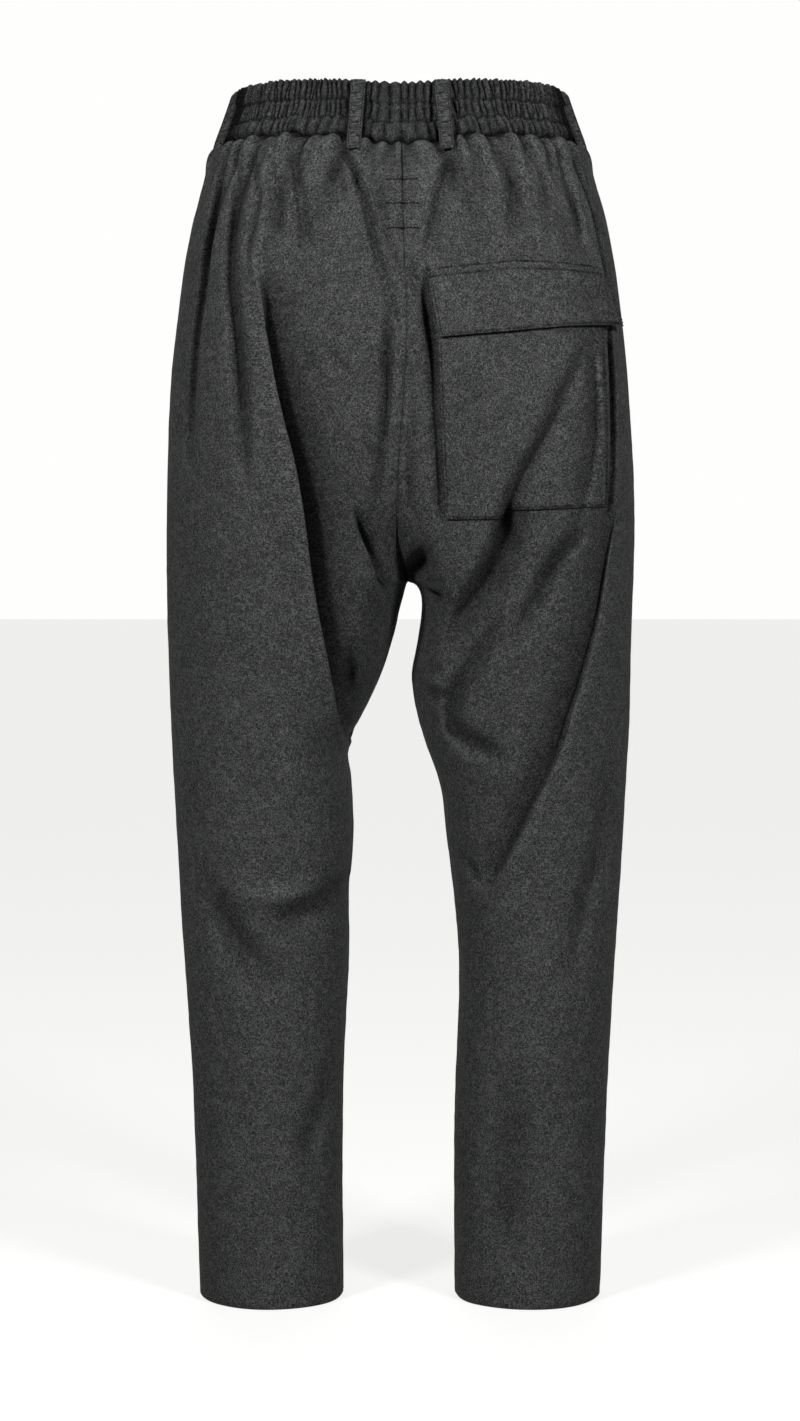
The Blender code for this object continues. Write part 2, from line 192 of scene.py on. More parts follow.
@dataclass(frozen=True)
class Form:
    """The garment's filled-out shape before the cloth's folds."""

    waist_seam: float = -25.6  # where the panels are sewn to the band
    band_line: float = -20.0  # the level whose outline gives the band its girth
    crotch: float = -387.0
    hem: float = -985.0
    band_top: float = 20.0
    seam_dip_back: float = 10.0
    seam_dip_front: float = 8.0
    top_dip: float = 5.0
    dip_fades_at: float = -75.0
    outseam_y: float = -6.0
    curve_height: float = 130.0
    curve_power: float = 3.0
    seams_apart: float = -0.05
    crotch_soft: float = 58.0
    soft_gain: float = 3.0
    soft_power: float = 0.7
    inner_soft: float = 20.0
    inner_share: float = 0.14
    most_seam_depth: float = 0.999
    normal_step: float = 0.012
    normal_rise: float = 8.0
    samples: int = 121

    sections: tuple[Section, ...] = (
        Section(-20, 142.0, 0.30, 106, 101),
        Section(-29, 153.5, 0.32, 114, 107),
        Section(-50, 160.5, 0.36, 121, 111),
        Section(-85, 171.0, 0.42, 131, 114),
        Section(-120, 178.5, 0.46, 139, 116),
        Section(-165, 184.5, 0.49, 146, 118),
        Section(-220, 190.0, 0.50, 149, 120),
        Section(-285, 193.7, 0.50, 146, 121),
        Section(-343, 195.0, 0.50, 139, 121),
        Section(-387, 194.6, 0.51, 131, 120),
        Section(-440, 193.5, 0.53, 122, 117),
        Section(-487, 192.4, 0.55, 114, 112),
        Section(-570, 188.2, 0.59, 103, 103),
        Section(-655, 183.5, 0.62, 94, 94),
        Section(-735, 178.5, 0.63, 89, 87),
        Section(-822, 173.8, 0.635, 84, 81),
        Section(-905, 171.0, 0.64, 80, 76),
        Section(-985, 167.6, 0.645, 77, 73),
    )
    centre_seam: tuple[CentreSeam, ...] = (
        CentreSeam(-20, 1.0, 106, 101),
        CentreSeam(-50, 1.2, 120, 110),
        CentreSeam(-120, 3.2, 137, 114),
        CentreSeam(-180, 5.4, 145, 115),
        CentreSeam(-220, 4.0, 146, 116),
        CentreSeam(-285, -0.6, 142, 115),
        CentreSeam(-325, -2.4, 136, 112),
        CentreSeam(-360, -1.0, 131, 110),
        CentreSeam(-387, 7.0, 127, 108),
    )
    inseam: tuple[Inseam, ...] = (
        Inseam(0, 6.5, 7.5),
        Inseam(6, 4.0, 16.0),
        Inseam(26, -1.5, 18.5),
        Inseam(49, -7.0, 15.5),
        Inseam(83, -18.0, 10.5),
        Inseam(116, -33.0, 15.5),
        Inseam(138, -43.5, 22.5),
        Inseam(167, -41.0, 33.0),
        Inseam(217, -40.0, 40.0),
        Inseam(267, -44.0, 46.5),
        Inseam(300, -43.5, 49.5),
        Inseam(435, -47.5, 46.5),
        Inseam(598, -48.5, 46.5),
    )

    def level(self, name: str, z: Array) -> Array:
        """A column of the sections' table at heights z."""
        return spline(z, [s.z for s in self.sections], [getattr(s, name) for s in self.sections])

    def centre(self, name: str, z: Array) -> Array:
        """A column of the centre seams' table at heights z."""
        return spline(z, [s.z for s in self.centre_seam], [getattr(s, name) for s in self.centre_seam])

    def outline(self, side: Side, u: Array, z: Array) -> Array:
        """The form's (x, y) at u and height z.

        From the fullest point of the back or front, a quarter ellipse runs out to the outseam. Another runs
        in: on a leg to the inseam, and above the crotch only as far as the centre seam's depth, spread to
        reach it. Away from the seam the one turns softly into the other, over crotch_soft of height.

        Args:
            side: which half.
            u: places round the half.
            z: heights, of the same shape or one that fits it.

        Returns:
            An array of their common shape, with a last axis for x and y.
        """
        u, z = np.broadcast_arrays(np.asarray(u, float), np.asarray(z, float))
        sign = side.value
        torso = z > self.crotch
        above = z - self.crotch
        drops = [math.sqrt(row.drop) for row in self.inseam]
        places = [getattr(row, side.name.lower()) for row in self.inseam]
        across = self.centre("across", z)
        inner = np.where(
            torso,
            across + sign * self.seams_apart,
            spline(np.sqrt(np.clip(-above, 0, None)), drops, places),
        )
        soft_drop = 0.5 * (np.sqrt(above**2 + self.inner_soft**2) - above)
        coarse = [row for row in self.inseam if not 0 < row.drop < self.inner_soft]
        soft_inner = across + spline(
            soft_drop, [row.drop for row in coarse], [getattr(row, side.name.lower()) for row in coarse]
        ) - places[0]
        outer = sign * self.level("outer", z)
        fullest = outer * self.level("lobe", z)
        xy = np.zeros(u.shape + (2,))
        for name, first, way in (("back", 0.0, -1.0), ("front", 1.0, 1.0)):
            depth = self.level(name, z)
            away = 4 * np.abs(u - first)
            soft = self.crotch_soft * np.clip(self.soft_gain * away, 0, 1) ** self.soft_power
            rise = 0.5 * (above + np.sqrt(above**2 + soft**2))
            left_to_curve = 1 - np.clip(rise / self.curve_height, 0, 1)
            curve = np.sqrt(1 - left_to_curve**self.curve_power)
            seam_share = np.clip(curve * self.centre(name, z) / depth, 0, self.most_seam_depth)
            start = np.arcsin(seam_share)
            inwards = start + (math.pi / 2 - start) * np.clip(away, 0, 1)
            outwards = math.pi / 2 * np.clip(away - 1, 0, 1)
            inside = (
                fullest
                + (soft_inner - fullest) * np.cos(inwards) / np.cos(start)
                + (inner - soft_inner) * bell(away, self.inner_share),
                way * depth * np.sin(inwards),
            )
            outside = (
                fullest + (outer - fullest) * np.sin(outwards),
                self.outseam_y + (way * depth - self.outseam_y) * np.cos(outwards),
            )
            for axis in range(2):
                here = np.where(away <= 1, inside[axis], outside[axis])
                xy[..., axis] = np.where(away <= 2, here, xy[..., axis])
        return xy

    def dip(self, u: Array, back: float, front: float) -> Array:
        """How far a band edge lies below its height at the sides: cosine squared of half a turn of u."""
        return np.where(u < 0.5, back, front) * np.cos(math.pi * u) ** 2

    def base(self, side: Side, u: Array, z: Array) -> Array:
        """Points of the form, with the rows near the waist bent to follow the waist seam.

        Args:
            side: which half.
            u: places round the half.
            z: nominal heights.

        Returns:
            An array of their common shape, with a last axis for x, y and z.
        """
        u, z = np.broadcast_arrays(np.asarray(u, float), np.asarray(z, float))
        xy = self.outline(side, u, z)
        share = np.clip((z - self.dip_fades_at) / (self.waist_seam - self.dip_fades_at), 0, 1)
        height = z - self.dip(u, self.seam_dip_back, self.seam_dip_front) * share**2
        return np.concatenate([xy, height[..., None]], axis=-1)

    def outward(self, side: Side, u: Array, z: Array) -> Array:
        """Unit normals of the form, from steps long enough to pass over its creases.

        Args:
            side: which half.
            u: places round the half.
            z: nominal heights.

        Returns:
            One normal for each place, as in base().
        """
        u, z = np.broadcast_arrays(np.asarray(u, float), np.asarray(z, float))
        step = np.where(u < 0.5, self.normal_step, -self.normal_step)
        round_it = (self.base(side, u + step, z) - self.base(side, u, z)) * np.sign(step)[..., None]
        down = self.base(side, u, z - self.normal_rise) - self.base(side, u, z + self.normal_rise)
        return unit(np.cross(down, round_it)) * side.value

    def u_at_x(self, side: Side, face: Face, x: Array, z: Array) -> Array:
        """The u at which a face's outline lies at x: read backwards from the outline at each height.

        Args:
            side: which half.
            face: its back or front.
            x: places across.
            z: heights, one for each x.

        Returns:
            An array of u, shaped like x.
        """
        u = np.linspace(*face.value, self.samples)
        flat_x, flat_z = np.ravel(x), np.ravel(z)
        found = np.empty(flat_x.shape)
        heights, row_of = np.unique(np.round(flat_z, 1), return_inverse=True)
        across = self.outline(side, u[None, :], heights[:, None])[..., 0] * side.value
        for k, row in enumerate(across):
            here = row_of.ravel() == k
            order = np.argsort(row)
            found[here] = np.interp(flat_x[here] * side.value, row[order], u[order])
        return found.reshape(np.shape(x))


@dataclass(frozen=True)
class Fold:
    """A trough down the cloth: the (x, z, depth) of its course, and its reach to the west and the east of it.

    A short reach on one side makes that side steep; crest is the height of the lip that stands there, and
    overlap how far the lip hangs over the trough. A negative depth makes a ridge. The pocket and its flap
    follow a fold only if it is marked as under_patches.
    """

    side: Side
    face: Face
    course: Points
    west: float
    east: float
    crest: float = 0.0
    overlap: float = 0.0
    under_patches: bool = True

    @property
    def short(self) -> float:
        """The reach on the steep side."""
        return min(self.west, self.east)

    @property
    def steep_side(self) -> float:
        """1 where the steep side is the east, and -1 where it is the west."""
        return 1.0 if self.east < self.west else -1.0


@dataclass
class Gathers:
    """The puffs of cloth under the waist seam, and the scalloped line that they press into the waistband."""

    form: Form
    seed: int = 11
    puff_share: float = 0.40
    valley_share: float = 1.1
    pinch: float = 3.2
    pinch_reach: float = 1.5
    round_over: float = 3.2
    fade: float = 54.0
    fade_power: float = 1.3
    fade_range: tuple[float, float] = (0.7, 0.6)
    fade_turn: float = 0.37
    widening: tuple[float, float] = (1.05, 90.0)
    valley_at: float = 1.25
    valley_reach: float = 0.4
    ridge_reach: float = 0.75
    past_centre: float = 4.0
    front_margins: tuple[float, float] = (12.0, 6.0)
    front_spacing: tuple[float, float] = (14.0, 30.0)
    front_half: float = 0.42
    front_rise: tuple[float, float] = (2.0, 4.6)
    samples: int = 401

    back: tuple[Arch, ...] = (
        Arch(-137.0, 4.5, 1.4),
        Arch(-128.5, 4.0, 1.6),
        Arch(-117.5, 6.0, 3.2),
        Arch(-101.0, 6.0, 1.8),
        Arch(-91.0, 8.0, 4.6),
        Arch(-79.5, 5.0, 1.0),
        Arch(-64.0, 7.0, 2.4),
        Arch(-53.0, 7.0, 4.2),
        Arch(-27.5, 6.5, 3.6),
        Arch(-13.7, 6.0, 1.8),
        Arch(-1.0, 5.0, 2.6),
        Arch(16.0, 9.0, 2.6),
        Arch(46.0, 4.5, 3.4),
        Arch(60.5, 7.0, 3.8),
        Arch(75.0, 5.0, 1.2),
        Arch(87.0, 8.0, 3.8),
        Arch(103.0, 8.0, 2.6),
        Arch(115.5, 4.5, 1.0),
        Arch(127.0, 6.5, 3.2),
        Arch(137.0, 4.5, 1.4),
    )

    def __post_init__(self) -> None:
        """Lays the arches out along the waist seam of each half, those of the front at seeded places."""
        self.u = np.linspace(0, 1, self.samples)
        self.lengths = {}
        self.arches = {}
        for side in Side:
            xy = self.form.outline(side, self.u, self.form.waist_seam)
            length = lengths_along(xy)
            self.lengths[side] = length
            half = self.u <= 0.5
            across = xy[half, 0] * side.value
            found = [
                (float(np.interp(arch.x * side.value, across, length[half])), arch.half, arch.rise)
                for arch in self.back
                if arch.x * side.value > -self.past_centre
            ]
            rng = np.random.default_rng(self.seed + int(side.value))
            at = float(np.interp(0.5, self.u, length)) + self.front_margins[0]
            while at < length[-1] - self.front_margins[1]:
                width = rng.uniform(*self.front_spacing)
                found.append((at, self.front_half * width, rng.uniform(*self.front_rise)))
                at += width
            self.arches[side] = found

    def along(self, side: Side, u: Array) -> Array:
        """The length along the waist seam from the centre back, at u."""
        return np.interp(u, self.u, self.lengths[side])

    def scallop(self, side: Side, u: Array) -> Array:
        """How far the waist seam rises over each puff: one less the square of the distance from its middle.

        Args:
            side: which half.
            u: places round the half.

        Returns:
            The rise at each place.
        """
        s = self.along(side, u)
        rise = np.zeros(np.shape(s))
        for middle, half, height in self.arches[side]:
            rise = np.maximum(rise, height * np.clip(1 - ((s - middle) / half) ** 2, 0, 1))
        return rise

    def puff(self, side: Side, u: Array, drop: Array) -> Array:
        """How far the cloth stands out at a drop below the seam.

        It rolls out of the pinched seam, fullest a few millimetres down, and fades along each puff's ridge,
        which has a valley at either side and widens as it falls.

        Args:
            side: which half.
            u: places round the half.
            drop: how far below the waist seam each lies.

        Returns:
            The distance outwards at each place.
        """
        s = self.along(side, u)
        drop = np.clip(drop, 0, None)
        rolled = 1 - np.exp(-drop / self.round_over)
        total = -self.pinch * np.exp(-drop / self.pinch_reach)
        for k, (middle, half, _) in enumerate(self.arches[side]):
            reach = self.fade * (self.fade_range[0] + self.fade_range[1] * ((k * self.fade_turn) % 1.0))
            wide = half * (self.widening[0] + drop / self.widening[1])
            valley = self.valley_reach * wide
            off = self.valley_at * wide
            beside = bell(s - middle - off, valley) + bell(s - middle + off, valley)
            ridge = bell(s - middle, self.ridge_reach * wide) - self.valley_share * beside
            fading = np.exp(-((drop / reach) ** self.fade_power))
            total = total + self.puff_share * half * ridge * rolled * fading
        return total


FOLD_TABLE: dict[tuple[Side, Face], tuple[tuple, ...]] = {
    (Side.LEFT, Face.BACK): (
        # Left back, from the outseam towards the centre: soft pleats that fall from the gathers
        (((-144, -46, 0), (-149, -74, 11), (-153, -98, 13), (-157, -122, 13), (-160, -154, 11),
          (-165, -186, 10), (-168, -226, 9), (-170, -266, 6), (-171, -306, 0)), 8.0, 7.0),
        (((-130, -42, 0), (-132, -66, 8), (-135, -98, 9), (-136, -146, 9), (-133, -170, 10),
          (-130, -202, 10), (-127, -242, 9), (-125, -282, 6), (-123, -322, 0)), 7.0, 8.0),
        (((-120, -38, 0), (-124, -54, 5), (-128, -72, 0)), 3.5, 3.5),
        (((-118, -40, 0), (-116, -62, 4), (-114, -82, 4), (-116, -102, 4), (-120, -118, 5),
          (-121, -133, 0)), 4.0, 3.5),
        (((-115, -108, 0), (-116, -130, -2.5), (-115, -146, -3), (-113, -166, 0)), 4.0, 4.0),
        # Left back: the long drape that overlaps the inner leg
        (((-107, -140, 0), (-106, -163, 11), (-104, -186, 15), (-101, -202, 16), (-97, -226, 17),
          (-90, -258, 18), (-84, -282, 19), (-79, -306, 20), (-74, -338, 21), (-70, -370, 20),
          (-65, -402, 18), (-59, -434, 17), (-53, -466, 15), (-47, -498, 12), (-42, -515, 9),
          (-39, -532, 0)), 4.5, 26.0, 3.0, 6.0),
        (((-105, -42, 0), (-101, -74, 5), (-98, -106, 4), (-96, -126, 0)), 6.0, 7.0),
        (((-87, -40, 0), (-83, -66, 7), (-80, -86, 7), (-77, -110, 5), (-77, -130, 0)), 4.0, 8.0),
        (((-92, -34, 0), (-89, -62, -2), (-86, -84, 0)), 5.0, 4.0),
        (((-52, -50, 0), (-48, -74, 5), (-48, -96, 0)), 6.0, 6.0),
        (((-48, -38, 0), (-40, -52, 8), (-34, -70, 8), (-28, -91, 6), (-23, -112, 5), (-18, -131, 4.5),
          (-12, -154, 3.5), (-4, -176, 3), (0, -194, 0)), 2.4, 5.5),
        (((-23, -50, 0), (-16, -82, 3.5), (-10, -114, 3.5), (-3, -134, 3), (3, -150, 0)), 2.0, 3.5),
        (((-7, -160, 0), (-8, -186, 6), (-10, -210, 7), (-10, -242, 7), (-13, -274, 6), (-17, -310, 5),
          (-19, -345, 0)), 5.5, 3.5),
        (((-80, -196, 0), (-70, -214, 2.5), (-60, -236, 0)), 5.0, 6.0),
        (((-56, -202, 0), (-45, -218, 2.5), (-34, -236, 0)), 6.0, 6.0),
        (((-31, -270, 0), (-24, -288, 4), (-18, -308, 0)), 4.0, 5.0),
        # Left back, by the crotch and down the inner leg
        (((-36, -326, 0), (-31, -344, 10), (-24, -360, 11), (-19, -374, 9), (-14, -390, 7), (-8, -404, 0)),
         3.5, 9.0, 1.0, 2.0),
        (((-39, -436, 0), (-39, -466, 9), (-40, -492, 0)), 9.0, 9.0),
        (((-104, -672, 0), (-88, -660, 6), (-66, -648, 8), (-48, -638, 7), (-40, -632, 0)), 17.0, 12.0),
        (((-168, -628, 0), (-150, -655, 6), (-136, -679, 8), (-124, -693, 7), (-110, -708, 5),
          (-98, -726, 0)), 20.0, 18.0),
        (((-140, -640, 0), (-115, -644, -4), (-80, -642, -5), (-56, -634, 0)), 10.0, 10.0),
        (((-47, -770, 0), (-62, -812, 4), (-74, -850, 4), (-72, -890, 0)), 14.0, 16.0),
    ),
    (Side.RIGHT, Face.BACK): (
        # The seat's bag, hanging over the crotch
        (((-24, -366, 0), (-14, -373, 16), (-3, -379, 20), (8, -379, 20), (16, -371, 15), (22, -360, 0)),
         11.0, 8.0),
        (((16, -390, 0), (27, -398, 12), (38, -400, 0)), 8.0, 4.0, 1.0),
        # Right back: beside the centre seam and along the pocket
        (((40, -42, 0), (35, -56, 7), (31, -72, 7), (27, -93, 6), (23, -110, 5), (20, -131, 0)),
         2.8, 8.0, 1.0),
        (((44, -46, 0), (40, -66, 4), (36, -88, 0)), 3.0, 4.0),
        (((7, -126, 0), (9, -142, 4), (12, -155, 4), (9, -178, 0)), 3.0, 4.0),
        (((11, -226, 0), (9, -258, 3), (8, -294, 4), (7, -322, 4), (8, -338, 0)), 3.0, 4.0),
        (((20, -140, 0), (20, -158, 8), (22, -178, 12), (25, -198, 12), (27, -216, 9), (28, -242, 7),
          (30, -274, 6), (32, -302, 6), (33, -330, 5), (34, -346, 0)), 6.0, 5.0, 0.0, 0.0, False),
        (((59, -42, 0), (62, -70, 5), (62, -96, 0)), 5.0, 6.0),
        (((89, -42, 0), (91, -66, 6), (91, -94, 5), (90, -116, 0)), 6.0, 7.0),
        (((119, -46, 0), (119, -82, 5), (121, -118, 0)), 9.0, 9.0),
        (((132, -42, 0), (142, -74, -2.5), (150, -102, -2.5), (156, -126, 0)), 4.0, 4.0),
        (((136, -58, 0), (143, -90, 5), (149, -118, 0)), 5.0, 3.5),
        # Right back: the side's long fold, which runs down across the leg to the inside of the knee
        (((140, -42, 0), (148, -60, 13), (153, -74, 22), (158, -90, 27), (162, -109, 28), (166, -127, 28),
          (170, -146, 24), (173, -160, 16), (176, -184, 0)), 6.5, 7.5, 1.5, 2.0, False),
        (((170, -176, 0), (171, -196, 12), (172, -218, 11), (173, -254, 10), (173, -290, 9), (170, -326, 8),
          (167, -344, 0)), 6.0, 5.0, 1.0, 0.0, False),
        (((152, -186, 0), (156, -214, 5), (157, -250, 6), (155, -284, 5), (149, -318, 4), (144, -346, 0)),
         13.0, 6.0),
        (((176, -318, 0), (171, -345, 8), (166, -372, 9), (160, -408, 10), (154, -433, 11), (148, -454, 11),
          (142, -474, 12), (135, -494, 12), (129, -514, 12), (122, -532, 12), (111, -554, 11),
          (100, -578, 12), (87, -604, 11), (76, -626, 9), (64, -640, 0)), 20.0, 5.0, 2.0, 2.5),
        # Right back: the diagonals across the pocket and the thigh
        (((148, -194, 0), (140, -212, 4), (133, -228, 6), (125, -244, 7), (118, -261, 8), (111, -274, 8),
          (105, -286, 8), (97, -300, 8), (90, -314, 9), (84, -330, 11), (81, -346, 8), (77, -362, 0)),
         6.0, 13.0, 1.0),
        (((86, -324, 0), (82, -342, 9), (77, -360, 13), (68, -379, 13), (59, -395, 11), (49, -411, 9),
          (40, -430, 6), (32, -452, 0)), 7.0, 26.0, 1.5),
        (((83, -408, 0), (71, -434, 6), (58, -454, 8), (47, -474, 9), (40, -491, 9), (42, -506, 9),
          (56, -518, 8), (71, -525, 6), (85, -531, 0)), 10.0, 10.0),
        (((154, -342, 0), (141, -356, 7), (129, -370, 9), (120, -386, 9), (112, -402, 8), (102, -421, 6),
          (90, -442, 0)), 12.0, 7.0),
        (((19, -455, 0), (26, -459, 4), (34, -456, 0)), 4.0, 4.0),
        (((18, -469, 0), (28, -468, -4), (38, -472, 0)), 5.0, 5.0),
        (((18, -474, 0), (26, -479, 7), (38, -481, 0)), 5.0, 3.0),
        (((170, -530, 0), (164, -600, 4), (150, -660, 5), (138, -720, 0)), 14.0, 14.0),
        (((46, -606, 0), (58, -622, 5), (66, -640, 0)), 8.0, 7.0),
        (((96, -780, 0), (92, -845, 6), (86, -910, 6), (84, -960, 0)), 22.0, 20.0),
    ),
    (Side.LEFT, Face.FRONT): (
        (((-140, -60, 0), (-134, -120, 6), (-122, -200, 11), (-104, -285, 15), (-84, -365, 17),
          (-68, -430, 12), (-56, -480, 0)), 7.0, 26.0, 2.0, 3.0),
        (((-64, -42, 0), (-54, -90, 6), (-44, -150, 7), (-30, -230, 5), (-22, -280, 0)), 6.0, 10.0),
        (((-100, -42, 0), (-96, -80, 6), (-90, -130, 0)), 5.0, 7.0),
        (((-122, -42, 0), (-120, -90, 5), (-124, -150, 0)), 6.0, 7.0),
        (((-158, -70, 0), (-163, -130, 8), (-168, -210, 7), (-171, -300, 0)), 9.0, 9.0),
        (((-40, -300, 0), (-28, -340, 8), (-14, -378, 8), (-8, -404, 0)), 6.0, 9.0, 1.0),
        (((-130, -585, 0), (-110, -618, 6), (-84, -640, 8), (-56, -626, 0)), 9.0, 8.0),
        (((-52, -790, 0), (-68, -830, 4), (-76, -880, 0)), 8.0, 10.0),
    ),
    (Side.RIGHT, Face.FRONT): (
        (((134, -62, 0), (128, -130, 7), (116, -210, 12), (98, -290, 15), (74, -370, 16), (56, -430, 10),
          (42, -480, 0)), 26.0, 7.0, 2.0, 3.0),
        (((56, -42, 0), (48, -95, 6), (38, -160, 7), (24, -235, 0)), 9.0, 6.0),
        (((96, -42, 0), (92, -85, 6), (84, -140, 0)), 6.0, 6.0),
        (((150, -60, 0), (160, -120, 8), (165, -190, 7), (168, -270, 0)), 8.0, 8.0),
        (((168, -330, 0), (156, -430, 9), (134, -510, 11), (104, -580, 9), (74, -636, 0)),
         6.0, 22.0, 1.5, 2.0),
        (((36, -310, 0), (26, -345, 8), (14, -380, 7), (12, -404, 0)), 8.0, 6.0, 1.0),
        (((60, -640, 0), (84, -660, 5), (112, -648, 0)), 8.0, 8.0),
    ),
}
FOLDS: tuple[Fold, ...] = tuple(Fold(*key, *row) for key, rows in FOLD_TABLE.items() for row in rows)


@dataclass
class Drape:
    """The cloth as it hangs on the form: gathers at the waist, listed folds and a slow unevenness."""

    form: Form
    gathers: Gathers
    folds: tuple[Fold, ...] = FOLDS
    course_steps: int = 40
    crosses_above: float = 40.0
    cull: float = 3.2
    gentle_power: float = 1.0
    usual_power: float = 2.0
    crest_at: float = 2.1
    crest_reach: float = 1.5
    lip_at: float = 0.8
    deepen: float = 1.35
    narrow: float = 0.78
    straight_in: float = 0.75
    narrow_lip: float = 0.70
    crease_full: float = 15.0
    crease_range: tuple[float, float] = (-0.3, 1.35)
    puff_shade_and_light: float = 4.2
    seam_share_reach: float = 9.0
    seam_stretch: float = 1.7
    scallop_fades: float = 22.0
    uneven: float = 0.8
    uneven_from: float = 30.0
    slow_cell: Place = (46, 46, 110)
    quick_cell: Place = (19, 19, 42)
    quick_share: float = 0.5
    seed: int = 5
    courses: list[tuple[Array, Array]] = field(default_factory=list)

    def __post_init__(self) -> None:
        """Lays each fold's course out on the form, as points close together with the depth at each."""
        for fold in self.folds:
            table = np.array(fold.course, float)
            along = np.linspace(0, 1, len(table))
            at = np.linspace(0, 1, self.course_steps)
            x, z = spline(at, along, table[:, 0]), spline(at, along, table[:, 1])
            depth = self.deepen * np.interp(at, along, table[:, 2])
            u = self.form.u_at_x(fold.side, fold.face, x, z)
            self.courses.append((self.form.base(fold.side, u, z), depth))

    def fold_moves(self, fold: Fold, course: Array, depth: Array, points: Array) -> Array:
        """How one fold moves each point: inwards, and sideways in x and y.

        The nearest place on the course gives a distance d, west or east of it. The trough is its depth there
        times e to the minus square of d over the reach on that side, and the crest a like hump on its steep
        side. Where the fold overlaps, the lip moves over the trough and the trough's foot under the lip, by
        t times e to the half less t squared over two, for t the distance from the steep wall's middle.

        Args:
            fold: the fold.
            course: its places on the form.
            depth: its depth at each.
            points: places on the form, one in each row.

        Returns:
            One row for each point, with the move inwards and the moves in x and y.
        """
        moved = np.zeros((len(points), 3))
        reach = self.cull * max(fold.west, fold.east)
        low, high = course.min(axis=0) - reach, course.max(axis=0) + reach
        near = np.flatnonzero(np.all((points > low) & (points < high), axis=1))
        if not len(near):
            return moved
        here = points[near][:, None, :] - course[None, :-1, :]
        edge = np.diff(course, axis=0)
        share = np.clip(np.einsum("pkc,kc->pk", here, edge) / (edge**2).sum(axis=1), 0, 1)
        away = here - share[..., None] * edge
        distance = np.linalg.norm(away, axis=-1)
        k = np.argmin(distance, axis=1)
        pick = (np.arange(len(near)), k)
        distance, share, away = distance[pick], share[pick], away[pick]
        east = away[:, 2] * edge[k, 0] - away[:, 0] * edge[k, 2] > 0
        strength = depth[k] + share * (depth[k + 1] - depth[k])
        whole = strength / max(float(depth.max()), 1e-6)
        gentle_side = self.narrow_lip if fold.overlap else self.narrow
        steep = east == (fold.steep_side > 0)
        ratio = distance / (np.where(east, fold.east, fold.west) * np.where(steep, self.narrow, gentle_side))
        easy = self.gentle_power if fold.overlap else self.usual_power
        gentle = np.where(east == (fold.steep_side < 0), easy, self.usual_power)
        inwards = strength * np.exp(-(ratio**gentle))
        towards_lip = distance * np.where(east, 1.0, -1.0) * fold.steep_side
        if fold.crest:
            hump = bell(towards_lip - self.crest_at * fold.short, self.crest_reach * fold.short)
            inwards = inwards - fold.crest * whole * hump
        moved[near, 0] = inwards
        if fold.overlap:
            along = unit(edge[k])
            out = np.stack([-along[:, 2], np.zeros(len(near)), along[:, 0]], -1)
            out = out * np.sign(out[:, :1] * fold.steep_side + 1e-9)
            t = (towards_lip - self.lip_at * fold.short) / fold.short
            slide = -fold.overlap * whole * t * np.exp(0.5 - t**2 / 2)
            moved[near, 1] = slide * out[:, 0]
            moved[near, 2] = slide * out[:, 2]
        return moved

    def moves(
        self, side: Side, points: Array, outward: Array, edge: Array, for_patch: bool
    ) -> tuple[Array, Array]:
        """How all the folds together move each point, and how far inwards in all.

        A fold sinks partly along the form's normal and partly straight towards the garment's middle plane. It
        fades into the other half at the crotch, and both halves' folds fade out of the seams there, so that
        the four panels meet.

        Args:
            side: which half the points are on.
            points: places on the form.
            outward: its normals there.
            edge: each point's distance from the half's own inner seam.
            for_patch: leaves out the folds that the pocket and its flap stand clear of.

        Returns:
            The move of each point, and the depth to which it sinks.
        """
        flat, out = points.reshape(-1, 3), outward.reshape(-1, 3)
        rise = flat[:, 2] - self.form.crotch
        over = np.clip(rise / self.crosses_above, 0, 1)
        by_seam = bell(edge.ravel(), self.seam_share_reach)
        own = 1 - by_seam * (1 - np.clip(np.abs(rise) / self.crosses_above, 0, 1))
        total, sunk = np.zeros((len(flat), 3)), np.zeros(len(flat))
        for fold, (course, depth) in zip(self.folds, self.courses):
            if for_patch and not fold.under_patches:
                continue
            weight = (own if fold.side is side else over)[:, None]
            straight = np.array([0.0, -1.0 if fold.face is Face.BACK else 1.0, 0.0])
            way = unit((1 - self.straight_in) * out + self.straight_in * straight)
            moved = self.fold_moves(fold, course, depth, flat)
            sunk += moved[:, 0] * weight[:, 0]
            total -= moved[:, :1] * way * weight
            total[:, 0] += moved[:, 1] * weight[:, 0]
            total[:, 2] += moved[:, 2] * weight[:, 0]
        return total.reshape(points.shape), sunk.reshape(points.shape[:-1])

    def surface(
        self, side: Side, u: Array, z: Array, inset: Array | float = 0.0, for_patch: bool = False
    ) -> Array:
        """Points of the cloth's outer face, as draped() gives them."""
        return self.draped(side, u, z, inset, for_patch)[0]

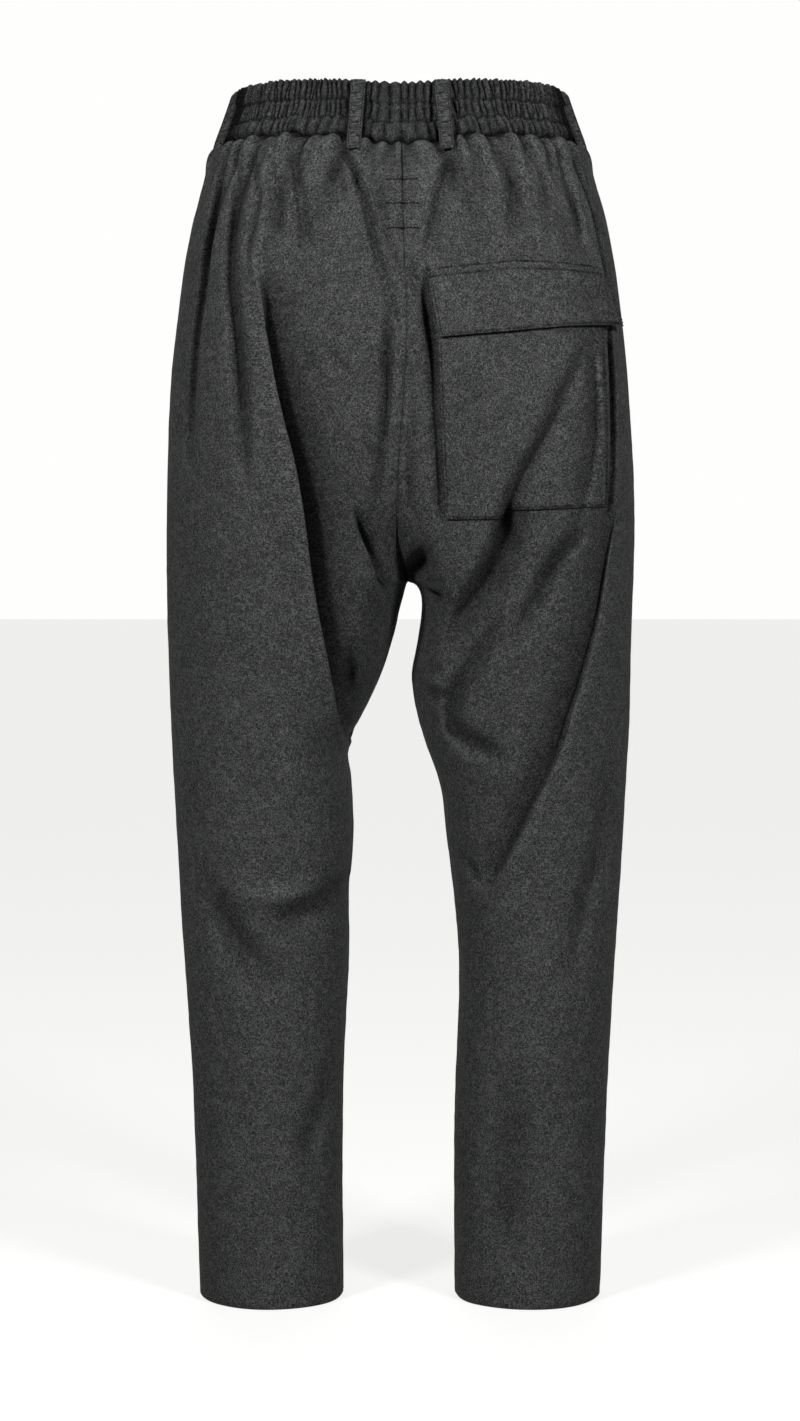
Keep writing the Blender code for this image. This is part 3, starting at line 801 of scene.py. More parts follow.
    def draped(
        self, side: Side, u: Array, z: Array, inset: Array | float = 0.0, for_patch: bool = False
    ) -> tuple[Array, Array]:
        """Points of the cloth's outer face, and how deep in a crease each lies.

        Args:
            side: which half.
            u: places round the half.
            z: nominal heights.
            inset: how far to draw the cloth in, as where it tucks under the band or turns up at the hem.
            for_patch: leaves out the folds that the pocket and its flap stand clear of.

        Returns:
            An array of points, moved along the form's normals and lifted by the scallops near the waist, and
            the crease at each, from a little under nought on a crest to a little over one, which the flannel
            paints as shade in the troughs and as a little light on the crests.
        """
        u, z = np.broadcast_arrays(np.asarray(u, float), np.asarray(z, float))
        points = self.form.base(side, u, z)
        outward = self.form.outward(side, u, z)
        centre = np.minimum(u, 1 - u) * self.form.level("outer", z) * self.seam_stretch
        across = 1 - bell(centre, self.seam_share_reach) * (z > self.form.crotch)
        outward = unit(outward * np.stack([across, np.ones_like(across), np.ones_like(across)], -1))
        drop = self.form.waist_seam - z
        near_seam = np.clip(1 - drop / self.scallop_fades, 0, 1)
        scallop = self.gathers.scallop(side, u) * np.where(drop < 0, 1, near_seam**2 * (3 - 2 * near_seam))
        slow = smooth_noise(points, self.slow_cell, self.seed)
        slow = slow + self.quick_share * smooth_noise(points, self.quick_cell, self.seed + 1)
        moves, sunk = self.moves(side, points, outward, centre, for_patch)
        puff = self.gathers.puff(side, u, drop)
        outwards = puff + self.uneven * slow * np.clip(drop / self.uneven_from, 0, 1) - inset
        points = points + outwards[..., None] * outward + moves
        points[..., 2] += scallop
        # Painted shade and light: the crease is deeper in troughs and in the pinched cloth just under the
        # waist seam (painted shade), and under nought on puffs (painted light).
        pinched = np.exp(-np.clip(drop, 0, None) / self.gathers.pinch_reach)
        crease = (sunk - self.puff_shade_and_light * puff) / self.crease_full + pinched
        return points, np.clip(crease, *self.crease_range)


def quads(rows: int, columns: int, closed_columns: bool, closed_rows: bool, flip: bool) -> Array:
    """The corners of a grid's faces as indices row * columns + column.

    Args:
        rows: the grid's rows.
        columns: its columns.
        closed_columns: joins the last column to the first.
        closed_rows: joins the last row to the first.
        flip: turns the faces round.

    Returns:
        One row of four indices for each face.
    """
    r = np.arange(rows if closed_rows else rows - 1)[:, None]
    c = np.arange(columns if closed_columns else columns - 1)[None, :]
    below, beside = (r + 1) % rows, (c + 1) % columns
    corners = (r * columns + c, below * columns + c, below * columns + beside, r * columns + beside)
    faces = np.stack(np.broadcast_arrays(*corners), -1).reshape(-1, 4)
    return faces[:, ::-1] if flip else faces


def cloth_mesh(
    name: str,
    grid: Array,
    uv: Array,
    flip: bool = False,
    closed_columns: bool = False,
    closed_rows: bool = False,
    crease: Optional[Array] = None,
) -> Piece:
    """An object from a grid of points.

    Args:
        name: the object's name.
        grid: points in millimetres, rows by columns by three.
        uv: cloth coordinates in metres at the corners, one more row or column than the grid where it closes.
        flip: turns the faces round.
        closed_columns: joins the last column to the first.
        closed_rows: joins the last row to the first.
        crease: how deep in a crease each point lies, from nought to one, which the flannel paints as shade.

    Returns:
        The object, at the origin, smooth, with its UV map.
    """
    faces = quads(*grid.shape[:2], closed_columns, closed_rows, flip)
    uv_faces = quads(*uv.shape[:2], False, False, flip)
    made = mesh_object(name, grid.reshape(-1, 3), faces, uv.reshape(-1, 2)[uv_faces.ravel()])
    if crease is not None:
        layer = made.data.attributes.new(CREASE_SHADE, "FLOAT", "POINT")
        layer.data.foreach_set("value", crease.astype(np.float32).ravel())
    return made


def mesh_object(name: str, points: Array, faces: Array, corner_uv: Array) -> Piece:
    """A smooth object from whole arrays.

    Args:
        name: the object's name.
        points: its vertices, in millimetres.
        faces: vertex indices, one row for each face.
        corner_uv: a UV for each corner of each face.

    Returns:
        The object, linked to the scene.
    """
    mesh = bpy.data.meshes.new(name)
    size = faces.shape[1]
    mesh.vertices.add(len(points))
    mesh.vertices.foreach_set("co", (points * METRES).astype(np.float32).ravel())
    mesh.loops.add(faces.size)
    mesh.loops.foreach_set("vertex_index", faces.astype(np.int32).ravel())
    mesh.polygons.add(len(faces))
    mesh.polygons.foreach_set("loop_start", np.arange(0, faces.size, size, dtype=np.int32))
    layer = mesh.uv_layers.new(name=UV_NAME)
    layer.data.foreach_set("uv", corner_uv.astype(np.float32).ravel())
    mesh.update(calc_edges=True)
    mesh.validate()
    mesh.shade_smooth()
    obj = bpy.data.objects.new(name, mesh)
    bpy.context.scene.collection.objects.link(obj)
    return obj


def thicken(obj: Piece, wall: float) -> None:
    """Gives a sheet its thickness, inwards from its outer face, with its edges closed."""
    solidify = obj.modifiers.new("Wall", "SOLIDIFY")
    solidify.thickness = wall * METRES
    solidify.offset = -1.0
    solidify.use_rim = True


def grid_normals(grid: Array) -> Array:
    """Unit normals of a grid whose rows run down and columns towards +u on the right half."""
    return unit(np.cross(np.gradient(grid, axis=0), np.gradient(grid, axis=1)))


class Graph:
    """A material's node tree, with short calls to add nodes and join them."""

    def __init__(self, material: bpy.types.Material) -> None:
        """Starts from the material's Principled shader."""
        material.use_nodes = True
        self.tree = material.node_tree
        self.shader = self.tree.nodes["Principled BSDF"]

    def node(self, kind: str, **settings: object) -> bpy.types.Node:
        """Adds a node and sets its properties."""
        made = self.tree.nodes.new(kind)
        for key, value in settings.items():
            setattr(made, key, value)
        return made

    def join(self, source: Socket, target: Socket) -> None:
        """Links an output to an input."""
        self.tree.links.new(source, target)

    def math(self, operation: str, a: object, b: object = 0.0, clamp: bool = False) -> Socket:
        """A Math node.

        Args:
            operation: what it does.
            a: its first socket or number.
            b: its second.
            clamp: keeps the result from nought to one.

        Returns:
            The node's output.
        """
        made = self.node("ShaderNodeMath", operation=operation, use_clamp=clamp)
        for socket, value in zip(made.inputs, (a, b)):
            if isinstance(value, Socket):
                self.join(value, socket)
            else:
                socket.default_value = value
        return made.outputs[0]

    def cloth_place(self) -> Socket:
        """The cloth's own coordinates, in metres along the weft and the warp."""
        return self.node("ShaderNodeUVMap", uv_map=UV_NAME).outputs["UV"]

    def blend(self, *parts: tuple[Socket, float]) -> Socket:
        """The sum of sockets, each times its weight."""
        terms = [self.math("MULTIPLY", socket, weight) for socket, weight in parts]
        total = terms[0]
        for term in terms[1:]:
            total = self.math("ADD", total, term)
        return total

    def scaled(self, vector: Socket, across: float, along: float, turn: float = 0.0) -> Socket:
        """Coordinates scaled and turned.

        Args:
            vector: the coordinates.
            across: how often the pattern repeats in a metre across.
            along: the same along.
            turn: an angle in degrees.

        Returns:
            The new coordinates.
        """
        mapping = self.node("ShaderNodeMapping")
        mapping.inputs["Rotation"].default_value = (0.0, 0.0, math.radians(turn))
        mapping.inputs["Scale"].default_value = (across, along, 1.0)
        self.join(vector, mapping.inputs["Vector"])
        return mapping.outputs["Vector"]

    def noise(
        self, vector: Socket, detail: float = 2.0, roughness: float = 0.5, distortion: float = 0.0
    ) -> Socket:
        """A two-dimensional noise of the vector, about 0.5.

        Args:
            vector: the coordinates.
            detail: how many finer layers it has.
            roughness: how strong each is beside the last.
            distortion: how far it is warped.

        Returns:
            The noise.
        """
        made = self.node("ShaderNodeTexNoise", noise_dimensions="2D")
        self.join(vector, made.inputs["Vector"])
        made.inputs["Scale"].default_value = 1.0
        made.inputs["Detail"].default_value = detail
        made.inputs["Roughness"].default_value = roughness
        made.inputs["Distortion"].default_value = distortion
        return made.outputs["Fac"]

    def ramp(self, fac: Socket, stops: Sequence[tuple[float, Color]]) -> Socket:
        """A colour ramp.

        Args:
            fac: the place along the ramp.
            stops: each stop's place and colour.

        Returns:
            The colour.
        """
        made = self.node("ShaderNodeValToRGB")
        elements = made.color_ramp.elements
        while len(elements) < len(stops):
            elements.new(0.5)
        for element, (place, color) in zip(elements, stops):
            element.position = place
            element.color = (*color, 1.0)
        self.join(fac, made.inputs["Fac"])
        return made.outputs["Color"]

    def bump(self, height: Socket, strength: float, distance: float) -> None:
        """Raises the surface by a height, a distance in metres at one."""
        made = self.node("ShaderNodeBump")
        made.inputs["Strength"].default_value = strength
        made.inputs["Distance"].default_value = distance
        self.join(height, made.inputs["Height"])
        self.join(made.outputs["Normal"], self.shader.inputs["Normal"])

    def constants(self, **values: object) -> None:
        """Sets the shader's own sockets, named with underscores for spaces."""
        for name, value in values.items():
            self.shader.inputs[name.replace("_", " ")].default_value = value


@dataclass(frozen=True)
class Flannel:
    """Brushed wool flannel: mixed dark and pale fibres, a twill ground under the nap, and a soft sheen."""

    name: str
    dark: Color = (0.0125, 0.013, 0.0135)
    middle: Color = (0.041, 0.0415, 0.042)
    pale: Color = (0.116, 0.117, 0.118)
    stops: tuple[float, float, float] = (0.34, 0.48, 0.62)
    yarn_noise: tuple[float, ...] = (2.0, 0.55)
    curl_noise: tuple[float, ...] = (2.0, 0.6, 0.8)
    hair_noise: tuple[float, ...] = (1.0, 0.5, 1.4)
    cloud_noise: tuple[float, ...] = (3.0, 0.5)
    yarn_share: float = 0.30
    curl_share: float = 0.40
    fibre_share: float = 0.82
    cloud_share: float = 0.04
    yarns: float = 1250.0
    slub: float = 420.0
    fibres: float = 1050.0
    curl: float = 330.0
    hair_sharpness: float = 9.0
    hair_share: float = 0.17
    clouds: float = 26.0
    twill: float = 1150.0
    twill_angle: float = 45.0
    twill_scale: float = 0.32
    twill_warp: float = 1.4
    twill_height: float = 0.25
    yarn_height: float = 0.8
    nap_depth: float = 0.00005
    nap_strength: float = 0.55
    # how strongly the crease attribute darkens the colour: painted shade
    crease_shade_strength: float = 0.55
    roughness: float = 0.92
    rough_spread: float = 0.18
    sheen: float = 0.02
    sheen_roughness: float = 0.45
    sheen_tint: Color = (0.9, 0.92, 0.95)
    gloss: float = 0.04

    def material(self) -> bpy.types.Material:
        """Mixes the yarns' streaks along warp and weft with curly fibres, for colour, roughness and bump.

        The colour is painted darker down the creases and a little lighter on crests, as painted shade and
        painted light read from the crease attribute.

        Returns:
            The material.
        """
        made = bpy.data.materials.new(self.name)
        g = Graph(made)
        place = g.cloth_place()
        warp = g.noise(g.scaled(place, self.yarns, self.slub), *self.yarn_noise)
        weft = g.noise(g.scaled(place, self.slub, self.yarns), *self.yarn_noise)
        curls = g.noise(g.scaled(place, self.fibres, self.fibres), *self.curl_noise)
        lines = g.noise(g.scaled(place, self.curl, self.curl), *self.hair_noise)
        off_line = g.math("ABSOLUTE", g.math("SUBTRACT", lines, 0.5))
        hairs = g.math("SUBTRACT", 1.0, g.math("MULTIPLY", off_line, self.hair_sharpness), clamp=True)
        cloud = g.noise(g.scaled(place, self.clouds, self.clouds), *self.cloud_noise)
        yarn = g.blend((warp, self.yarn_share), (weft, self.yarn_share))
        mixed = g.math("ADD", yarn, g.math("MULTIPLY", curls, self.curl_share))
        tone = g.blend((mixed, self.fibre_share), (cloud, self.cloud_share), (hairs, self.hair_share))
        color = g.ramp(tone, tuple(zip(self.stops, (self.dark, self.middle, self.pale))))
        # Painted shade: the crease attribute darkens the base colour in troughs, seams and grooves, and
        # values under nought lighten crests as painted light.
        crease_shade_node = g.node("ShaderNodeAttribute", attribute_type="GEOMETRY", attribute_name=CREASE_SHADE)
        shade_factor = g.math("SUBTRACT", 1.0, g.math("MULTIPLY", crease_shade_node.outputs["Fac"], self.crease_shade_strength))
        laid = g.node("ShaderNodeVectorMath", operation="SCALE")
        g.join(color, laid.inputs[0])
        g.join(shade_factor, laid.inputs["Scale"])
        g.join(laid.outputs["Vector"], g.shader.inputs["Base Color"])
        rough = g.math("MULTIPLY", curls, self.rough_spread)
        rough = g.math("ADD", rough, self.roughness - self.rough_spread / 2)
        g.join(rough, g.shader.inputs["Roughness"])
        ribs = g.node("ShaderNodeTexWave", wave_type="BANDS", bands_direction="X", wave_profile="SIN")
        g.join(g.scaled(place, self.twill, self.twill, self.twill_angle), ribs.inputs["Vector"])
        ribs.inputs["Scale"].default_value = self.twill_scale
        ribs.inputs["Distortion"].default_value = self.twill_warp
        ribs.inputs["Detail"].default_value = 1.0
        height = g.math("ADD", g.math("MULTIPLY", ribs.outputs["Fac"], self.twill_height), curls)
        height = g.math("ADD", height, g.math("MULTIPLY", yarn, self.yarn_height))
        g.bump(height, self.nap_strength, self.nap_depth)
        g.constants(
            Metallic=0.0, Specular_IOR_Level=self.gloss, Sheen_Weight=self.sheen,
            Sheen_Roughness=self.sheen_roughness, Sheen_Tint=(*self.sheen_tint, 1.0),
        )
        return made


@dataclass(frozen=True)
class Thread:
    """Dark sewing thread, twisted, a little glossier than the cloth."""

    name: str = "thread"
    color: Color = (0.006, 0.006, 0.0065)
    shade: float = 0.6
    twist: float = 2600.0
    twist_angle: float = 40.0
    twist_scale: float = 0.3
    depth: float = 0.0001
    strength: float = 0.5
    roughness: float = 0.7
    gloss: float = 0.15

    def material(self) -> bpy.types.Material:
        """A dark colour with a fine slanted twist in its bump."""
        made = bpy.data.materials.new(self.name)
        g = Graph(made)
        ply = g.node("ShaderNodeTexWave", wave_type="BANDS", bands_direction="X")
        g.join(g.scaled(g.cloth_place(), self.twist, self.twist, self.twist_angle), ply.inputs["Vector"])
        ply.inputs["Scale"].default_value = self.twist_scale
        shaded = tuple(self.shade * c for c in self.color)
        color = g.ramp(ply.outputs["Fac"], ((0.0, shaded), (1.0, self.color)))
        g.join(color, g.shader.inputs["Base Color"])
        g.bump(ply.outputs["Fac"], self.strength, self.depth)
        g.constants(Roughness=self.roughness, Specular_IOR_Level=self.gloss)
        return made


@dataclass(frozen=True)
class PaleFloor:
    """A plain, matt, near-white studio floor."""

    name: str = "pale_floor"
    color: Color = (0.35, 0.35, 0.345)
    light: Color = (1.0, 1.0, 0.99)
    glow: float = 0.74
    roughness: float = 0.9
    gloss: float = 0.1

    def material(self) -> bpy.types.Material:
        """White paper, with a little glow so that it stays white."""
        made = bpy.data.materials.new(self.name)
        Graph(made).constants(
            Base_Color=(*self.color, 1.0), Roughness=self.roughness, Specular_IOR_Level=self.gloss,
            Emission_Color=(*self.light, 1.0), Emission_Strength=self.glow,
        )
        return made


@dataclass
class Wardrobe:
    """The finishes, each made once."""

    flannel: bpy.types.Material = field(init=False)
    band_flannel: bpy.types.Material = field(init=False)
    thread: bpy.types.Material = field(init=False)

    def __post_init__(self) -> None:
        """Makes each finish's material."""
        self.flannel = Flannel(WOOL).material()
        # The band's copy of the flannel is darker and takes stronger crease darkening: painted shade of its
        # gathers.
        self.band_flannel = Flannel(
            SHADED_BAND,
            dark=(0.011, 0.0115, 0.012),
            middle=(0.034, 0.0345, 0.035),
            pale=(0.096, 0.097, 0.098),
            crease_shade_strength=0.85,
        ).material()
        self.thread = Thread().material()


def dress(piece: Piece, material: bpy.types.Material, nodes: Sequence[str] = ()) -> Piece:
    """Gives a piece its finish, hangs it under the root body and hides the CAD nodes that it stands for.

    Args:
        piece: the object.
        material: its finish.
        nodes: the CAD nodes that it stands for.

    Returns:
        The piece.
    """
    piece.data.materials.append(material)
    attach(piece, "root")
    if nodes:
        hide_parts(*nodes)
    return piece


@dataclass
class LegPanel:
    """A front or back of one half, from under the waistband to its turned-up hem."""

    drape: Drape
    side: Side
    face: Face
    wall: float = 1.2
    cut_width: float = 0.330
    cut_length: float = 1.010
    cut_area: float = 0.262
    columns: int = 150
    edge_margins: tuple[float, ...] = (0.05, 0.7, 1.5, 2.5, 3.8, 5.5)
    inner_share: float = 0.36
    length_reach: float = 45.0
    seam_groove: float = 1.0
    seam_groove_reach: float = 1.4
    seam_ridge: float = 0.35
    pucker: float = 0.22
    seam_painted_shade: float = 0.35
    seam_painted_shade_reach: float = 1.2
    ridge_at: float = 6.0
    ridge_reach: float = 4.0
    pucker_cell: tuple[float, float] = (7.0, 1.0)
    pucker_reach: float = 9.0
    pucker_seed: int = 31
    samples: int = 241
    top_rows: tuple[float, ...] = (0.0, 0.6, 1.3, 2.2, 3.3, 4.6, 6.1, 7.8, 9.7)
    waist_rows: tuple[float, float, float] = (12.0, -70.0, 2.4)
    seat_rows: tuple[float, float, float] = (-72.0, 44.0, 4.2)
    crotch_rows: tuple[int, float, float] = (15, 1.35, 42.0)
    leg_rows: tuple[float, float] = (46.0, 5.2)
    tuck: Points = ((7.0, 4.2), (4.5, 3.9), (2.6, 3.2), (1.2, 2.2), (0.4, 1.1))
    turn_up: Points = (
        (-0.6, 0.25), (-1.1, 0.8), (-1.2, 1.5), (-0.8, 2.1), (0.6, 2.6), (5.0, 2.7), (12.0, 2.7), (22.0, 2.8),
    )

    @property
    def node(self) -> str:
        """The CAD node that the panel stands for."""
        return f"{self.face.name.lower()}_{self.side.name.lower()}"

    def levels(self) -> tuple[Array, Array]:
        """Rows that lie closest near the waist and the crotch.

        Returns:
            The rows' nominal heights, and how far each is drawn in.
        """
        form = self.drape.form
        top = form.waist_seam - np.array(self.top_rows)
        below, waist_end, waist_step = self.waist_rows
        waist = np.arange(form.waist_seam - below, waist_end, -waist_step)
        seat_start, above, seat_step = self.seat_rows
        seat = np.arange(seat_start, form.crotch + above, -seat_step)
        count, power, reach = self.crotch_rows
        near = np.linspace(1, 0, count)[:-1] ** power * reach
        crotch = np.concatenate([form.crotch + near, [form.crotch], form.crotch - near[::-1]])
        leg = np.arange(form.crotch - self.leg_rows[0], form.hem + 1.0, -self.leg_rows[1])
        heights = np.concatenate([
            form.waist_seam + np.array([rise for rise, _ in self.tuck]),
            top, waist, seat, crotch, leg, [form.hem],
            form.hem + np.array([rise for rise, _ in self.turn_up]),
        ])
        inset = np.zeros(len(heights))
        inset[: len(self.tuck)] = [draw for _, draw in self.tuck]
        inset[-len(self.turn_up):] = [draw for _, draw in self.turn_up]
        return heights, inset

    def stations(self, heights: Array) -> tuple[Array, Array, Array]:
        """Places round each row: columns close together beside the seams and even between.

        Args:
            heights: the rows' nominal heights.

        Returns:
            u at each row and column, the distance to the nearer edge, and the distance from the outseam.
        """
        fine = np.linspace(*self.face.value, self.samples)
        rows = self.drape.form.base(self.side, fine[None, :], heights[:, None])
        steps = np.linalg.norm(np.diff(rows, axis=1), axis=2)
        length = np.concatenate([np.zeros((len(heights), 1)), np.cumsum(steps, axis=1)], axis=1)
        total = length[:, -1:]
        margin = np.array(self.edge_margins)
        share = np.linspace(0, 1, self.columns + 2)[1:-1]
        last = margin[-1]
        near = bell(heights[:, None] - heights[None, :], self.length_reach) * np.abs(np.gradient(heights))
        steady = (near @ total) / near.sum(axis=1, keepdims=True) - 2 * last
        outer = (1 - np.maximum(share, self.inner_share)) * steady
        inner = np.minimum(share / self.inner_share, 1.0)
        between = last + inner * (total - 2 * last - outer[:, :1]) + (outer[:, :1] - outer)
        at = np.concatenate(
            [np.broadcast_to(margin, (len(heights), len(margin))), between, total - margin[::-1]], axis=1
        )
        if self.face is Face.FRONT:
            at = (total - at)[:, ::-1]
        u = np.stack([np.interp(a, row, fine) for a, row in zip(at, length)])
        outseam = total - at if self.face is Face.BACK else at
        return u, np.minimum(at, total - at), outseam

    def build(self, wardrobe: Wardrobe) -> Piece:
        """Makes the panel: the draped surface with grooves at its seams, thickened inwards.

        Args:
            wardrobe: the finishes.

        Returns:
            The panel.
        """
        heights, inset = self.levels()
        u, edge, outseam = self.stations(heights)
        z = heights[:, None]
        groove = self.seam_groove * bell(edge, self.seam_groove_reach)
        groove = groove - self.seam_ridge * bell(edge - self.ridge_at, self.ridge_reach)
        along_seam = np.stack(np.broadcast_arrays(z, edge * 0 + self.side.value), -1)
        waves = smooth_noise(along_seam, self.pucker_cell, self.pucker_seed)
        groove = groove + self.pucker * waves * bell(edge, self.pucker_reach)
        grid, crease = self.drape.draped(self.side, u, z, inset[:, None] + groove)
        # Painted shade along the seam, over the groove's real relief.
        crease = crease + self.seam_painted_shade * bell(edge, self.seam_painted_shade_reach)
        uv = np.stack([outseam, -np.broadcast_to(z, u.shape)], -1) * METRES
        panel = cloth_mesh(f"{self.node}_flannel", grid, uv, flip=self.side is Side.LEFT, crease=crease)
        thicken(panel, self.wall)
        dress(panel, wardrobe.flannel, [self.node])
        log.info("%s: %d rows by %d columns", panel.name, *grid.shape[:2])
        return panel


@dataclass
class Waistband:
    """A folded band gathered over elastic in three sewn channels."""

    drape: Drape
    columns: int = 2280
    scales: Points = (
        (0.0, 1.010), (0.15, 1.010), (0.35, 0.992), (0.5, 0.976), (0.87, 0.957), (1.0, 0.943),
    )
    top_drop: float = 2.0
    channels: tuple[float, ...] = (0.0, 0.33, 0.655, 1.0)
    leans: tuple[float, ...] = (-3.4, -0.6, 0.3)
    spacings: tuple[float, ...] = (6.8, 4.6, 4.6)
    spread: tuple[float, float] = (0.55, 1.6)
    fulness_spread: tuple[float, float] = (0.55, 1.15)
    lean_spread: float = 1.1
    plain_reach: float = 26.0
    plain_slack: float = 0.45
    front_from: float = 8.0
    wiggle: float = 0.5
    wiggle_turns: tuple[float, float] = (1.7, 5.0)
    depth: float = 4.6
    pleat_rise: float = 5.0
    pleat_power: float = 1.4
    pleat_base: float = 0.6
    most_rise: float = 1.05
    swell_power: float = 0.6
    flattest: float = 0.30
    stitch_dip: float = 1.8
    stitch_reach: float = 0.026
    outer_rows: int = 23
    inner_rows: int = 5
    stitch_rows: tuple[float, ...] = (-0.03, -0.015, 0.015, 0.03)
    tuck_under: float = 3.0
    tuck_reach: float = 0.035
    inner_ease: float = 0.6
    puff_push: tuple[float, float, float] = (0.28, 0.12, 0.16)
    side_bulge: float = 4.2
    side_swells: Points = ((1.0, 0.12, 0.32), (0.3, 0.72, 0.2))
    side_u: float = 0.49
    side_reach: float = 0.06
    # loop_shade, shade_u and shade_reach paint the shadow beside each side loop
    loop_shade: float = 2.0
    shade_u: float = 0.460
    shade_reach: float = 0.026
    clear_of_form: float = 0.4
    crest_from: float = 0.8
    crest_wave: float = 0.5
    roll_height: float = 0.45
    crease_from: float = 0.2
    crease_full: float = 2.9
    crease_power: float = 1.3
    seam_painted_shade_reach: float = 0.03
    fullness: float = 1.45
    cut_width: float = 1.10
    cut_height: float = 0.046
    samples: int = 601
    roll_steps: int = 5
    least_apart: float = 1e-4
    seed: int = 23

    def loop(self) -> tuple[Array, Array, Array]:
        """The band's line as one closed loop of even columns.

        Returns:
            The loop's (x, y), its length at each, and its u there. A u below nought is on the left half, so
            the loop runs from the centre back over the right to the left.
        """
        u = np.linspace(0, 1, self.samples)
        form = self.drape.form
        right = form.outline(Side.RIGHT, u, form.band_line)
        left = form.outline(Side.LEFT, u[::-1], form.band_line)
        xy = np.concatenate([right, left])
        signed = np.concatenate([u, -u[::-1]])
        closed = np.concatenate([xy, xy[:1]])
        length = lengths_along(closed)
        at = np.linspace(0, length[-1], self.columns + 1)[:-1]
        places = np.stack([np.interp(at, length, closed[:, k]) for k in range(2)], -1)
        split = length[len(u)]
        u_at = np.where(
            at < split,
            np.interp(at, length[: len(u)], signed[: len(u)]),
            np.interp(at, length[len(u): 2 * len(u)], signed[len(u):]),
        )
        return places, at, u_at

    def pleat_lines(
        self, channel: int, total: float, middle: float
    ) -> tuple[Array, Array, Array]:
        """Pleats from a seeded draw, wider and slacker at the centre back and centre front.

        Args:
            channel: which channel, counted from the seam.
            total: the band's length.
            middle: the length at the centre front.

        Returns:
            Where the pleats are pinched, and each one's lean and fullness.
        """
        rng = np.random.default_rng(self.seed + min(channel, 1))
        lines = [0.0]
        while lines[-1] < total:
            near = min(lines[-1], total - lines[-1], abs(lines[-1] - middle) + self.front_from)
            slack = 1.0 + self.plain_slack * math.exp(-((near / self.plain_reach) ** 2))
            lines.append(lines[-1] + self.spacings[channel] * slack * float(rng.uniform(*self.spread)))
        places = np.array(lines) * total / lines[-1]
        lean = self.leans[channel] + rng.normal(0, self.lean_spread, len(places))
        full = rng.uniform(*self.fulness_spread, len(places))
        lean[-1], full[-1] = lean[0], full[0]
        return places, lean, full

    def pleats(self, at: Array, t: Array, total: float, side_sign: Array) -> Array:
        """The gathered relief.

        Between two pinched lines the cloth rises as one less a power of the distance from the middle. Each
        channel's relief swells between its rows of stitching and sinks at them.

        Args:
            at: each column's length along the band.
            t: each row's share of the band's height.
            total: the band's length.
            side_sign: 1 on the right half and -1 on the left, at each column.

        Returns:
            The height of the cloth at each row and column.
        """
        relief = np.zeros((len(t), len(at)))
        middle = total / 2
        for k, (low, high) in enumerate(zip(self.channels[:-1], self.channels[1:])):
            places, lean, full = self.pleat_lines(k, total, middle)
            for row, share in enumerate(t):
                if not (low <= share < high or (high == 1.0 and share >= 1.0)):
                    continue
                inside = (share - low) / (high - low)
                shift = lean * np.sign(np.interp(places, at, side_sign)) * (inside - 0.5)
                wiggle = self.wiggle * np.sin(places * self.wiggle_turns[0] + self.wiggle_turns[1] * inside)
                lines = np.maximum.accumulate(places + shift + wiggle)
                lines = lines + np.arange(len(lines)) * self.least_apart
                place = np.interp(at, lines, np.arange(len(lines)))
                j = np.minimum(place.astype(int), len(places) - 2)
                across = np.abs(2 * (place - j) - 1)
                width = np.diff(lines)[j]
                rise = np.minimum(self.pleat_rise * full[j], self.most_rise * width)
                shape = rise * (1 - across**self.pleat_power) - self.pleat_base * self.pleat_rise
                ends = math.sin(math.pi * min(max(inside, 0.0), 1.0))
                top_open = 1.0 if k == len(self.spacings) - 1 and inside > 0.5 else ends
                envelope = self.flattest + (1 - self.flattest) * max(top_open, 0.0) ** self.swell_power
                relief[row] = shape * envelope
        for line in self.channels[1:-1]:
            relief -= self.stitch_dip * bell(t - line, self.stitch_reach)[:, None]
        return relief

    def section(self) -> tuple[Array, Array, Array]:
        """The band's section, up the outer face, over the top fold, down inside and under.

        Returns:
            For each row, its share of the height, how far it is towards the inner layer, and how far past the
            top or the bottom.
        """
        beside = np.array(self.stitch_rows)
        stitched = [line + beside for line in self.channels[1:-1]]
        outer = np.sort(np.concatenate([np.linspace(0, 1, self.outer_rows), *stitched]))
        inner = np.linspace(1, 0, self.inner_rows)
        roll = np.linspace(0, math.pi, self.roll_steps)[1:-1]
        flat = np.zeros(len(outer))
        t = np.concatenate([outer, np.ones(len(roll)), inner, np.zeros(len(roll))])
        turning = (1 - np.cos(roll)) / 2
        layer = np.concatenate([flat, turning, np.ones(len(inner)), (1 + np.cos(roll)) / 2])
        beyond = np.concatenate([flat, np.sin(roll), np.zeros(len(inner)), -np.sin(roll)])
        return t, layer, beyond

